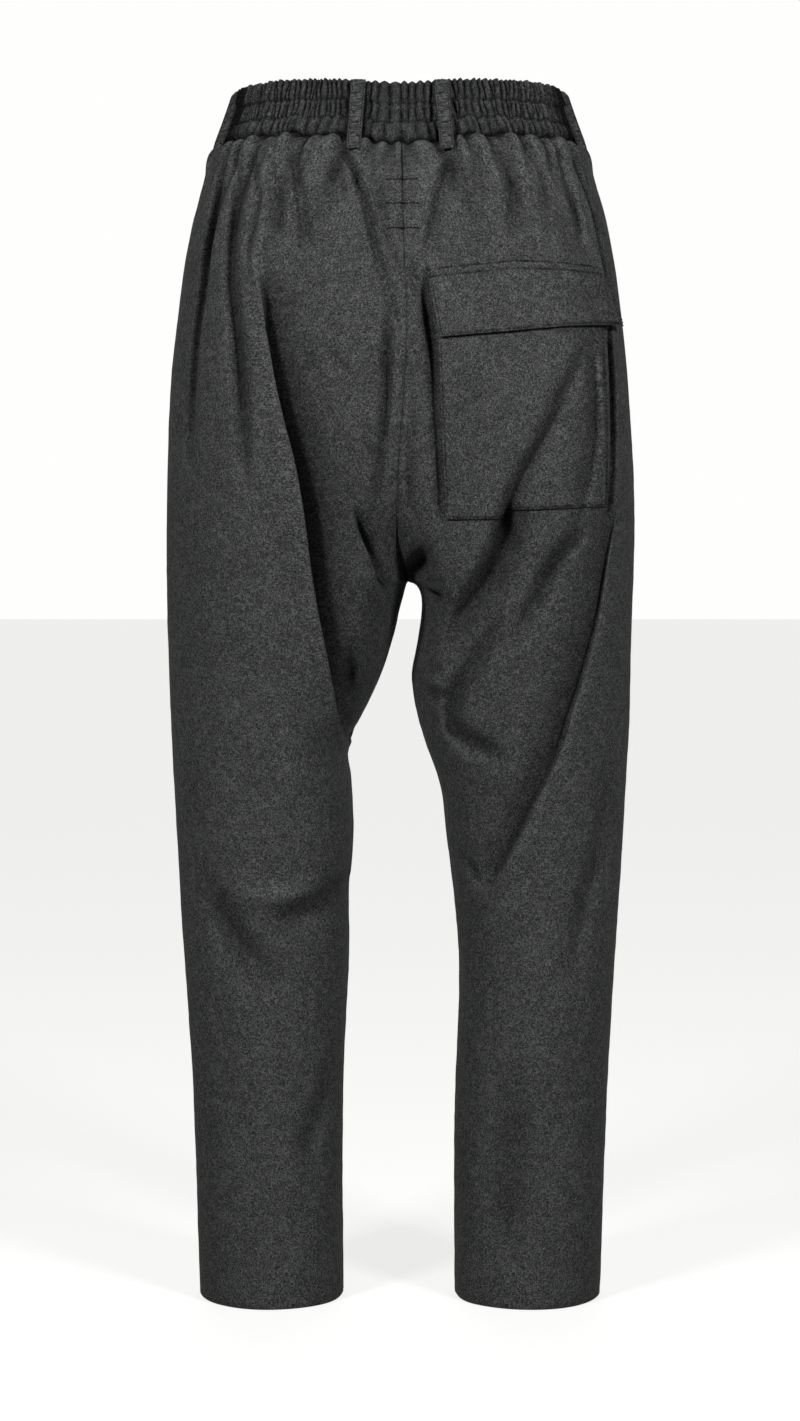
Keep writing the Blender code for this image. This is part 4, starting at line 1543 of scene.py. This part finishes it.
    def build(self, wardrobe: Wardrobe) -> Piece:
        """Makes the band as one closed ring, gathered between its rows of stitching.

        Args:
            wardrobe: the finishes.

        Returns:
            The band.
        """
        form, gathers = self.drape.form, self.drape.gathers
        places, at, u = self.loop()
        round_it = np.abs(u)
        total = float(at[-1] + at[1])
        ahead = np.roll(places, -1, axis=0) - np.roll(places, 1, axis=0)
        out = unit(np.stack([ahead[:, 1], -ahead[:, 0]], -1))
        right = u >= 0
        scallop = np.where(right, gathers.scallop(Side.RIGHT, round_it), gathers.scallop(Side.LEFT, round_it))
        low = form.waist_seam - form.dip(round_it, form.seam_dip_back, form.seam_dip_front) + scallop
        high = form.band_top - self.top_drop - form.dip(round_it, form.top_dip, form.top_dip)
        t, layer, beyond = self.section()
        on_face = (1 - layer)[:, None]
        relief = self.pleats(at, t, total, np.where(right, 1.0, -1.0))
        edge = bell(t, self.tuck_reach)[:, None] * np.where(layer < 0.5, 1.0, 0.0)[:, None]
        relief = relief * (1 - self.inner_ease * layer[:, None]) - self.tuck_under * edge
        push, push_at, push_reach = self.puff_push
        plain = relief + push * scallop[None, :] * bell(t - push_at, push_reach)[:, None] * on_face
        swell = sum(share * bell(t - middle, reach) for share, middle, reach in self.side_swells)
        swell = swell * (1 - layer)
        beside = bell(round_it[None, :] - self.side_u, self.side_reach)
        relief = plain + self.side_bulge * swell[:, None] * beside
        scale = spline(t, [s[0] for s in self.scales], [s[1] for s in self.scales])
        xy = places[None, :, :] * scale[:, None, None]
        xy = xy + out[None, :, :] * (relief - self.depth * layer[:, None] - self.clear_of_form)[..., None]
        crest = np.clip((t - self.crest_from) / (1 - self.crest_from), 0, 1)[:, None]
        z = low[None, :] + (high - low)[None, :] * t[:, None]
        z = z + beyond[:, None] * self.depth * self.roll_height + self.crest_wave * relief * crest
        grid = np.concatenate([xy, z[..., None]], -1)
        # Painted shade: darker in the valleys between pleats, along the waist seam, and beside the side loops
        # as their painted shadow.
        crease = np.clip((self.crease_from - plain) / self.crease_full, 0, 1) ** self.crease_power
        crease = crease + bell(t, self.seam_painted_shade_reach)[:, None]
        crease = crease + self.loop_shade * bell(round_it[None, :] - self.shade_u, self.shade_reach)
        crease = np.clip(crease, 0, 1) * on_face
        along = np.concatenate([at, [total]]) * self.fullness
        down = lengths_along(grid[:, 0])
        down = np.append(down, down[-1] + 1.0)
        uv = np.stack(np.broadcast_arrays(along[None, :], down[:, None]), -1) * METRES
        band = cloth_mesh("waistband_flannel", grid, uv, True, True, True, crease)
        dress(band, wardrobe.band_flannel, ["waistband"])
        log.info("%s: %d rows by %d columns", band.name, *grid.shape[:2])
        return band


@dataclass(frozen=True)
class LoopPlace:
    """Where a belt loop is sewn: its node, half, u and foot's offset, its bow and twist, and how it sits."""

    node: str
    side: Side
    u: float
    lean: float
    bow: float
    twist: float = 0.0
    inset: float = 0.0
    sink: float = 0.2
    sink_reach: float = 0.03


@dataclass
class BeltLoop:
    """A strip folded to a finished width, edge-stitched, from the band's top edge to just below its seam."""

    drape: Drape
    place: LoopPlace
    width: float = 12.0
    thick: float = 2.2
    head_scale: float = 0.962
    ease: float = 1.6
    foot: float = -37.0
    head_drop: float = 1.8
    shade: float = 0.2
    stations: int = 46
    across: int = 24
    twist_ends: float = 0.6
    clear: float = 0.3
    head_tuck: tuple[float, float] = (2.6, 0.035)
    head_rise: tuple[float, float] = (0.8, 0.05)
    side_power: float = 0.32
    face_power: float = 0.5
    foot_taper: tuple[float, float] = (0.12, 0.03)
    edge_painted_shade: tuple[float, float] = (0.6, 0.9)
    foot_painted_shadow: tuple[float, float] = (1.2, 0.022)
    stitch_in: float = 1.7
    stitch_sink: float = 0.38
    stitch_reach: float = 0.55
    thread_sink: float = 0.32
    ends_clear: int = 3

    def ends(self) -> tuple[Array, Array, Array]:
        """Where the strip starts and ends.

        Returns:
            The head's and foot's middles, and the way out of the garment.
        """
        form, p = self.drape.form, self.place
        out = unit(form.outward(p.side, np.array([p.u]), np.array([self.foot]))[0] * (1, 1, 0))
        head_xy = form.outline(p.side, np.array([p.u]), np.array([form.band_line]))[0] * self.head_scale
        top = form.band_top - self.head_drop - float(form.dip(np.array(p.u), form.top_dip, form.top_dip))
        head = np.array([*head_xy, top])
        foot = form.base(p.side, np.array([p.u + p.lean]), np.array([self.foot]))[0]
        return head, foot, out

    def centre_line(self) -> tuple[Array, Array, Array]:
        """The strip's course. It turns its face towards the back by its twist, most between its ends.

        Returns:
            Its middle line, its outward direction at each place, and the vectors across.
        """
        head, foot, out = self.ends()
        share = np.linspace(0, 1, self.stations)
        turning = self.twist_ends + (1 - self.twist_ends) * np.sin(math.pi * share)
        turning = self.place.twist * turning
        turned = unit(out + np.stack([0 * share, -turning, 0 * share], -1))
        over = np.stack([-turned[:, 1], turned[:, 0], 0 * share], -1)
        line = head + (foot - head) * share[:, None]
        bow = self.clear + self.ease + self.place.bow * 4 * share * (1 - share) + self.thick / 2
        turn_in = self.head_tuck[0] * bell(share, self.head_tuck[1])
        turn_in = turn_in + self.place.sink * bell(share - 1, self.place.sink_reach)
        line = line + out * (bow - turn_in - self.place.inset)[:, None]
        line[:, 2] += self.head_rise[0] * bell(share, self.head_rise[1])
        ahead = unit(np.gradient(line, axis=0))
        normal = unit(np.cross(over, ahead))
        return line, normal * np.sign((normal * turned).sum(axis=-1, keepdims=True)), over

    def build(self, wardrobe: Wardrobe) -> list[Piece]:
        """Carries a flat, round-edged profile with two sunk stitch lines along the middle line.

        Args:
            wardrobe: the finishes.

        Returns:
            The strip and its two rows of stitches.
        """
        line, normal, over = self.centre_line()
        angle = np.linspace(0, 2 * math.pi, 2 * self.across, endpoint=False)
        side = np.sign(np.cos(angle)) * np.abs(np.cos(angle)) ** self.side_power * self.width / 2
        face = np.sign(np.sin(angle)) * np.abs(np.sin(angle)) ** self.face_power * self.thick / 2
        off_stitch = np.abs(side) - (self.width / 2 - self.stitch_in)
        face = face - self.stitch_sink * bell(off_stitch, self.stitch_reach) * (np.sin(angle) > 0)
        narrowing, narrow_reach = self.foot_taper
        taper = 1 - narrowing * bell(np.linspace(0, 1, self.stations) - 1, narrow_reach)
        grid = (
            line[:, None, :]
            + over[:, None, :] * side[None, :, None] * taper[:, None, None]
            + normal[:, None, :] * face[None, :, None]
        )
        caps = [np.repeat(end[:, None, :], 2 * self.across, axis=1) for end in (line[:1], line[-1:])]
        grid = np.concatenate([caps[0], grid, caps[1]])
        along = np.concatenate([[0.0], lengths_along(line), [lengths_along(line)[-1] + 1]])
        round_it = np.linspace(0, 2 * (self.width + self.thick), 2 * self.across + 1)
        uv = np.stack(np.broadcast_arrays(round_it[None, :], along[:, None]), -1) * METRES
        # Painted shade: the strip a little darker throughout, darker at its rounded edges, and a dark line at
        # its foot for the shadow under it.
        dark = self.shade + self.edge_painted_shade[0] * bell(np.abs(side) - self.width / 2, self.edge_painted_shade[1])
        by_foot = bell(np.linspace(0, 1, len(grid)) - 1, self.foot_painted_shadow[1])
        dark = dark[None, :] + self.foot_painted_shadow[0] * by_foot[:, None]
        strip = cloth_mesh(f"{self.place.node}_flannel", grid, uv, closed_columns=True, crease=dark)
        weld_and_turn_out(strip)
        dress(strip, wardrobe.flannel, [self.place.node])
        made = [strip]
        sewn = slice(self.ends_clear, -self.ends_clear)
        for letter, way in (("a", -1), ("b", 1)):
            run = line + over * way * (self.width / 2 - self.stitch_in)
            run = run + normal * (self.thick / 2 - self.thread_sink)
            name = f"{self.place.node}_stitches_{letter}"
            made.append(StitchRun(name, run[sewn], normal[sewn]).build(wardrobe))
        log.info("%s: %d vertices", strip.name, len(strip.data.vertices))
        return made


def weld_and_turn_out(obj: Piece) -> None:
    """Merges points that coincide, as at a closed end, and turns all faces outwards."""
    made = bmesh.new()
    made.from_mesh(obj.data)
    bmesh.ops.remove_doubles(made, verts=made.verts, dist=1e-6)
    bmesh.ops.recalc_face_normals(made, faces=made.faces)
    made.to_mesh(obj.data)
    made.free()


@dataclass
class StitchRun:
    """A row of lockstitches lying on the cloth: short plump threads, each dipping in at both ends."""

    name: str
    line: Array
    normal: Array
    pitch: float = 3.0
    share: float = 0.74
    radius: float = 0.30
    rings: int = 5
    sides: int = 5
    bedding: float = 0.55
    thinnest: float = 0.35

    def build(self, wardrobe: Wardrobe) -> Piece:
        """Bends one thread template onto the line at even places, as whole arrays.

        Args:
            wardrobe: the finishes.

        Returns:
            The row's threads as one piece.
        """
        length = lengths_along(self.line)
        count = max(2, int(length[-1] / self.pitch))
        start = (np.arange(count) + 0.5 - self.share / 2) * length[-1] / count
        step = np.linspace(0, 1, self.rings)
        at = start[:, None] + step[None, :] * self.share * length[-1] / count
        middle = np.stack([np.interp(at, length, self.line[:, k]) for k in range(3)], -1)
        normal = unit(np.stack([np.interp(at, length, self.normal[:, k]) for k in range(3)], -1))
        ahead = unit(np.gradient(middle, axis=1))
        over = unit(np.cross(normal, ahead))
        arch = np.sin(math.pi * step)
        middle = middle + normal * ((arch - self.bedding) * self.radius)[None, :, None]
        thin = self.radius * (self.thinnest + (1 - self.thinnest) * arch**0.5)
        turn = np.linspace(0, 2 * math.pi, self.sides, endpoint=False)
        wide, tall = np.outer(thin, np.cos(turn)), np.outer(thin, np.sin(turn))
        points = middle[:, :, None, :] + over[:, :, None, :] * wide[None, :, :, None]
        points = points + normal[:, :, None, :] * tall[None, :, :, None]
        faces = quads(self.rings, self.sides, True, False, False)
        per = self.rings * self.sides
        faces = (faces[None] + (np.arange(count) * per)[:, None, None]).reshape(-1, 4)
        uv = np.stack(np.broadcast_arrays(at[:, :, None], turn[None, None, :] * self.radius), -1)
        uv = uv.reshape(-1, 2) * METRES
        made = mesh_object(self.name, points.reshape(-1, 3), faces, uv[faces.ravel()])
        weld_and_turn_out(made)
        return dress(made, wardrobe.thread)


@dataclass
class Patch:
    """A piece sewn flat on the right back: a grid between its four edges, laid on the panel and moved out."""

    drape: Drape
    name: str
    node: str
    left: Points
    right: Points
    top: Points
    bottom: Points
    lifts: Points
    wall: float
    columns: int
    rows: int
    cut: tuple[float, float]
    corner_lift: float = 0.0
    stitch_rows: tuple[float, ...] = ()
    edge_stitch: float = 1.8
    stitch_painted_shade: float = 0.8
    edges_stitched: tuple[bool, bool, bool, bool] = (True, True, False, True)
    crowding: float = 0.045
    corner_span: tuple[float, float] = (0.55, 0.45)
    edge_reach: float = 0.8
    row_reach: float = 0.9
    stitch_sink: float = 0.75
    ripple_cell: tuple[float, float] = (5.0, 9.0)
    ripple_seed: int = 77
    ripple_rise: float = 0.30
    ripple_reach: float = 12.0
    roll: tuple[float, float] = (0.5, 0.6)
    pitch: float = 3.2

    def places(self) -> tuple[Array, Array, Array, Array]:
        """The grid, by blending opposite edges.

        Returns:
            Its x and z, and the shares a across and b down.
        """
        a, b = np.meshgrid(self.even(self.columns), self.even(self.rows))

        def edge(points: Points, at: Array) -> Array:
            """Places at shares of the length of an edge."""
            table = np.array(points, float)
            length = lengths_along(table)
            return np.stack([np.interp(at, length / length[-1], table[:, k]) for k in range(2)], -1)

        left, right = edge(self.left, b), edge(self.right, b)
        top, bottom = edge(self.top, a), edge(self.bottom, a)
        shares = (np.zeros(1), np.ones(1))
        corners = [edge(side, end)[0] for side in (self.top, self.bottom) for end in shares]
        aa, bb = a[..., None], b[..., None]
        blend = (1 - aa) * left + aa * right + (1 - bb) * top + bb * bottom
        blend = blend - ((1 - aa) * (1 - bb) * corners[0] + aa * (1 - bb) * corners[1]
                         + (1 - aa) * bb * corners[2] + aa * bb * corners[3])
        return blend[..., 0], blend[..., 1], a, b

    def even(self, count: int) -> Array:
        """Shares from nought to one, closer together at both ends."""
        t = np.linspace(0, 1, count)
        return t - self.crowding * np.sin(2 * math.pi * t)

    def grid(self) -> tuple[Array, Array, Array, Array, Array]:
        """The patch laid on the panel, grooved along its stitching and lifted where it is free.

        Returns:
            Its outer face, its normals, the lengths across and down, and the crease at each point.
        """
        x, z, a, b = self.places()
        form = self.drape.form
        u = form.u_at_x(Side.RIGHT, Face.BACK, x, z)
        on_panel, crease = self.drape.draped(Side.RIGHT, u, z, for_patch=True)
        normal = grid_normals(on_panel)
        wide = np.linalg.norm(on_panel[:, -1] - on_panel[:, 0], axis=-1)[:, None]
        tall = np.linalg.norm(on_panel[-1] - on_panel[0], axis=-1)[None, :]
        sides = np.minimum(a, 1 - a) * wide
        ends = np.minimum(b, 1 - b) * tall
        lift = np.interp(b, [s[0] for s in self.lifts], [s[1] for s in self.lifts])
        corner_from, corner_wide = self.corner_span
        lift = lift + self.corner_lift * np.clip((a - corner_from) / corner_wide, 0, 1) ** 2 * b**2
        groove = np.zeros(a.shape)
        near = [a * wide, (1 - a) * wide, b * tall, (1 - b) * tall]
        for stitched, distance in zip(self.edges_stitched, near):
            if stitched:
                groove = np.maximum(groove, bell(distance - self.edge_stitch, self.edge_reach))
        for row in self.stitch_rows:
            groove = np.maximum(groove, bell(b * tall - row, self.row_reach))
        ripple = smooth_noise(np.stack([a * wide, b * tall], -1), self.ripple_cell, self.ripple_seed)
        rippled = np.maximum(bell(sides, self.ripple_reach), bell(ends, self.ripple_reach))
        lift = lift + self.wall - self.stitch_sink * groove + self.ripple_rise * ripple * rippled
        lift = lift - self.roll[0] * bell(np.minimum(sides, ends), self.roll[1])
        # Painted shade down the stitch grooves, varied by the ripple.
        crease = crease + self.stitch_painted_shade * groove * (1 + ripple)
        return on_panel + normal * lift[..., None], normal, a * wide, b * tall, crease

    def build(self, wardrobe: Wardrobe) -> list[Piece]:
        """Makes the patch and the stitches round it.

        Args:
            wardrobe: the finishes.

        Returns:
            The patch and its rows of stitches.
        """
        grid, normal, across, down, crease = self.grid()
        uv = np.stack([across, down], -1) * METRES
        piece = cloth_mesh(self.name, grid, uv, crease=crease)
        thicken(piece, self.wall)
        dress(piece, wardrobe.flannel, [self.node])
        made = [piece]
        for k, (line, out) in enumerate(self.stitch_lines(grid, normal)):
            run = StitchRun(f"{self.node}_stitches_{k + 1}", line, out, pitch=self.pitch)
            made.append(run.build(wardrobe))
        log.info("%s: %d rows by %d columns", piece.name, *grid.shape[:2])
        return made

    def stitch_lines(self, grid: Array, normal: Array) -> list[tuple[Array, Array]]:
        """The rows of stitching: just inside each sewn edge, and across at each named distance down.

        Args:
            grid: the patch's outer face.
            normal: its normals.

        Returns:
            Each row's points and normals.
        """
        rows, columns = grid.shape[:2]
        found = []
        middles = (grid[rows // 2], grid[:, columns // 2])
        for axis, (line, turned) in enumerate(zip(middles, ((1, 0, 2), (0, 1, 2)))):
            length = lengths_along(line)
            sewn = [self.edge_stitch, length[-1] - self.edge_stitch]
            wanted = [at for at, edge in zip(sewn, self.edges_stitched[2 * axis: 2 * axis + 2]) if edge]
            wanted += self.stitch_rows if axis else ()
            for at in wanted:
                key = int(np.searchsorted(length, at))
                found.append(tuple(each.transpose(turned)[key, 2:-2] for each in (grid, normal)))
        return found


@dataclass
class SeamTacks:
    """Short plain rows of stitching across the centre-back seam, one above another."""

    drape: Drape
    heights: tuple[float, ...] = (-66.0, -86.0, -106.0)
    half_width: float = 13.0
    seam_gap: float = 0.8
    lift: float = 0.7
    pitch: float = 2.6
    share: float = 0.9
    radius: float = 0.6
    samples: int = 25

    def build(self, wardrobe: Wardrobe) -> list[Piece]:
        """Lays each row on both back panels, a little above their cloth.

        Args:
            wardrobe: the finishes.

        Returns:
            The rows of stitches.
        """
        form = self.drape.form
        made = []
        for k, z in enumerate(self.heights):
            lines, normals = [], []
            middle = float(form.centre("across", np.array(z)))
            for side in Side:
                ends = sorted((side.value * self.half_width, side.value * self.seam_gap))
                x = middle + np.linspace(*ends, self.samples)
                u = form.u_at_x(side, Face.BACK, x, np.full(x.shape, z))
                lines.append(self.drape.surface(side, u, z))
                normals.append(form.outward(side, u, z))
            line, normal = np.concatenate(lines), np.concatenate(normals)
            line = line + self.lift * normal
            run = StitchRun(f"back_seam_tack_{k + 1}", line, normal, self.pitch, self.share, self.radius)
            made.append(run.build(wardrobe))
        return made


@dataclass
class Studio:
    """A pale floor under the hems, soft lights, and the camera at the back of the garment."""

    eye: Place = (0.0, -2.8, -0.392)
    aim: Place = (0.0, 0.0, -0.4952)
    long_view: float = 24.06
    sensor: float = 36.0
    far: float = 120.0
    floor_half: float = 60.0
    floor_drop: float = 0.0015
    backdrop: Color = (0.992, 0.992, 0.985)
    ambient: float = 0.07
    boxes: tuple[tuple[str, Place, float], ...] = (
        ("left", (-1.5, -2.3, 0.9), 56.0),
        ("right", (1.5, -2.3, 0.9), 56.0),
    )
    box_aim: Place = (0.0, 0.0, -0.35)
    box_size: float = 0.55
    behind: Place = (0.0, 3.0, 1.6)
    behind_spread: float = 45.0
    behind_strength: float = 1.0

    def build(self) -> None:
        """Sets the floor, world, lights and camera."""
        self.floor()
        self.world()
        self.lights()
        self.camera()

    def floor(self) -> None:
        """One large quad just under the hems."""
        h = self.floor_half
        z = Form().hem * METRES - self.floor_drop
        points = np.array([(-h, -h, z), (h, -h, z), (h, h, z), (-h, h, z)]) / METRES
        floor = mesh_object("floor", points, np.array([[0, 1, 2, 3]]), np.zeros((4, 2)))
        floor.data.materials.append(PaleFloor().material())
        floor.visible_diffuse = False

    def world(self) -> None:
        """White behind the garment, and a weaker even light on it."""
        world = bpy.data.worlds.new("studio")
        bpy.context.scene.world = world
        world.use_nodes = True
        nodes, links = world.node_tree.nodes, world.node_tree.links
        seen = nodes["Background"]
        seen.inputs["Color"].default_value = (*self.backdrop, 1.0)
        seen.inputs["Strength"].default_value = 1.0
        soft = nodes.new("ShaderNodeBackground")
        soft.inputs["Color"].default_value = (1.0, 1.0, 1.0, 1.0)
        soft.inputs["Strength"].default_value = self.ambient
        path = nodes.new("ShaderNodeLightPath")
        mix = nodes.new("ShaderNodeMixShader")
        links.new(path.outputs["Is Camera Ray"], mix.inputs["Fac"])
        links.new(soft.outputs["Background"], mix.inputs[1])
        links.new(seen.outputs["Background"], mix.inputs[2])
        links.new(mix.outputs["Shader"], nodes["World Output"].inputs["Surface"])

    def lights(self) -> None:
        """A softbox at either side of the camera, and a soft sun behind for the garment's front."""
        for name, place, power in self.boxes:
            lamp = bpy.data.lights.new(name, "AREA")
            lamp.size = self.box_size
            lamp.energy = power
            self.hang(name, lamp, place, self.box_aim)
        sun = bpy.data.lights.new("behind", "SUN")
        sun.angle = math.radians(self.behind_spread)
        sun.energy = self.behind_strength
        self.hang("behind", sun, self.behind, (0.0, 0.0, 0.0))

    def hang(self, name: str, lamp: bpy.types.Light, place: Place, aim: Place) -> None:
        """Puts a lamp at a place, turned towards its aim."""
        obj = bpy.data.objects.new(name, lamp)
        bpy.context.scene.collection.objects.link(obj)
        obj.location = place
        obj.rotation_mode = "QUATERNION"
        obj.rotation_quaternion = self.towards(place, aim)

    def towards(self, place: Sequence[float], target: Sequence[float]) -> Quaternion:
        """The turn that points an object's -Z at a target."""
        return (Vector(target) - Vector(place)).to_track_quat("-Z", "Y")

    def camera(self) -> None:
        """A long lens at the garment's middle height, looking a little down."""
        data = bpy.data.cameras.new("camera")
        data.sensor_width = self.sensor
        data.lens = self.sensor / 2 / math.tan(math.radians(self.long_view) / 2)
        data.clip_end = self.far
        obj = bpy.data.objects.new("camera", data)
        bpy.context.scene.collection.objects.link(obj)
        obj.location = self.eye
        obj.rotation_mode = "QUATERNION"
        obj.rotation_quaternion = self.towards(self.eye, self.aim)
        bpy.context.scene.camera = obj
        bpy.context.scene.view_settings.view_transform = "Standard"


LOOP_PLACES: tuple[LoopPlace, ...] = (
    LoopPlace("belt_loop_back_left", Side.LEFT, 0.205, -0.026, 1.6),
    LoopPlace("belt_loop_back_right", Side.RIGHT, 0.203, -0.025, 1.6),
    LoopPlace("belt_loop_side_left", Side.LEFT, 0.480, -0.022, -1.6, 0.95, 3.2, 1.6, 0.16),
    LoopPlace("belt_loop_side_right", Side.RIGHT, 0.480, -0.022, -1.6, 0.95, 3.2, 1.6, 0.16),
    LoopPlace("belt_loop_front_left", Side.LEFT, 0.790, 0.0, 2.6),
    LoopPlace("belt_loop_front_right", Side.RIGHT, 0.790, 0.0, 2.6),
)


def pocket(drape: Drape) -> Patch:
    """The patch pocket: a bag sewn on at its sides and bottom, its mouth under the flap."""
    return Patch(
        drape, "back_pocket_flannel", "back_pocket",
        left=((29, -156), (34, -280), (37, -338)),
        right=((162, -156), (166, -260), (167, -327)),
        top=((29, -156), (162, -156)),
        bottom=((37, -338), (79, -337.5), (87, -331), (167, -327)),
        lifts=((0.0, 0.5), (0.5, 1.2), (1.0, 0.4)),
        wall=1.3, columns=110, rows=140, cut=(0.146, 0.186),
    )


def flap(drape: Drape) -> Patch:
    """The pocket's flap: sewn on along its top by two rows of stitching, free at its sides and bottom."""
    return Patch(
        drape, "pocket_flap_flannel", "pocket_flap",
        left=((21, -138), (26, -165), (32, -194)),
        right=((163, -132), (169, -155), (175.5, -180)),
        top=((21, -138), (90, -131), (163, -132)),
        bottom=((32, -194), (100, -188), (175.5, -180)),
        lifts=((0.0, 0.3), (0.14, 0.5), (0.30, 2.2), (1.0, 4.2)),
        wall=1.8, columns=130, rows=64, cut=(0.162, 0.068), corner_lift=1.8,
        stitch_rows=(1.8, 8.0),
    )


def main() -> None:
    """Builds the garment piece by piece, then the studio."""
    logging.basicConfig(level=logging.INFO, format="%(name)s: %(message)s")
    form = Form()
    drape = Drape(form, Gathers(form))
    wardrobe = Wardrobe()
    Waistband(drape).build(wardrobe)
    for side in Side:
        for face in Face:
            LegPanel(drape, side, face).build(wardrobe)
    for place in LOOP_PLACES:
        BeltLoop(drape, place).build(wardrobe)
    pocket(drape).build(wardrobe)
    flap(drape).build(wardrobe)
    SeamTacks(drape).build(wardrobe)
    Studio().build()


if __name__ == "__main__":
    main()
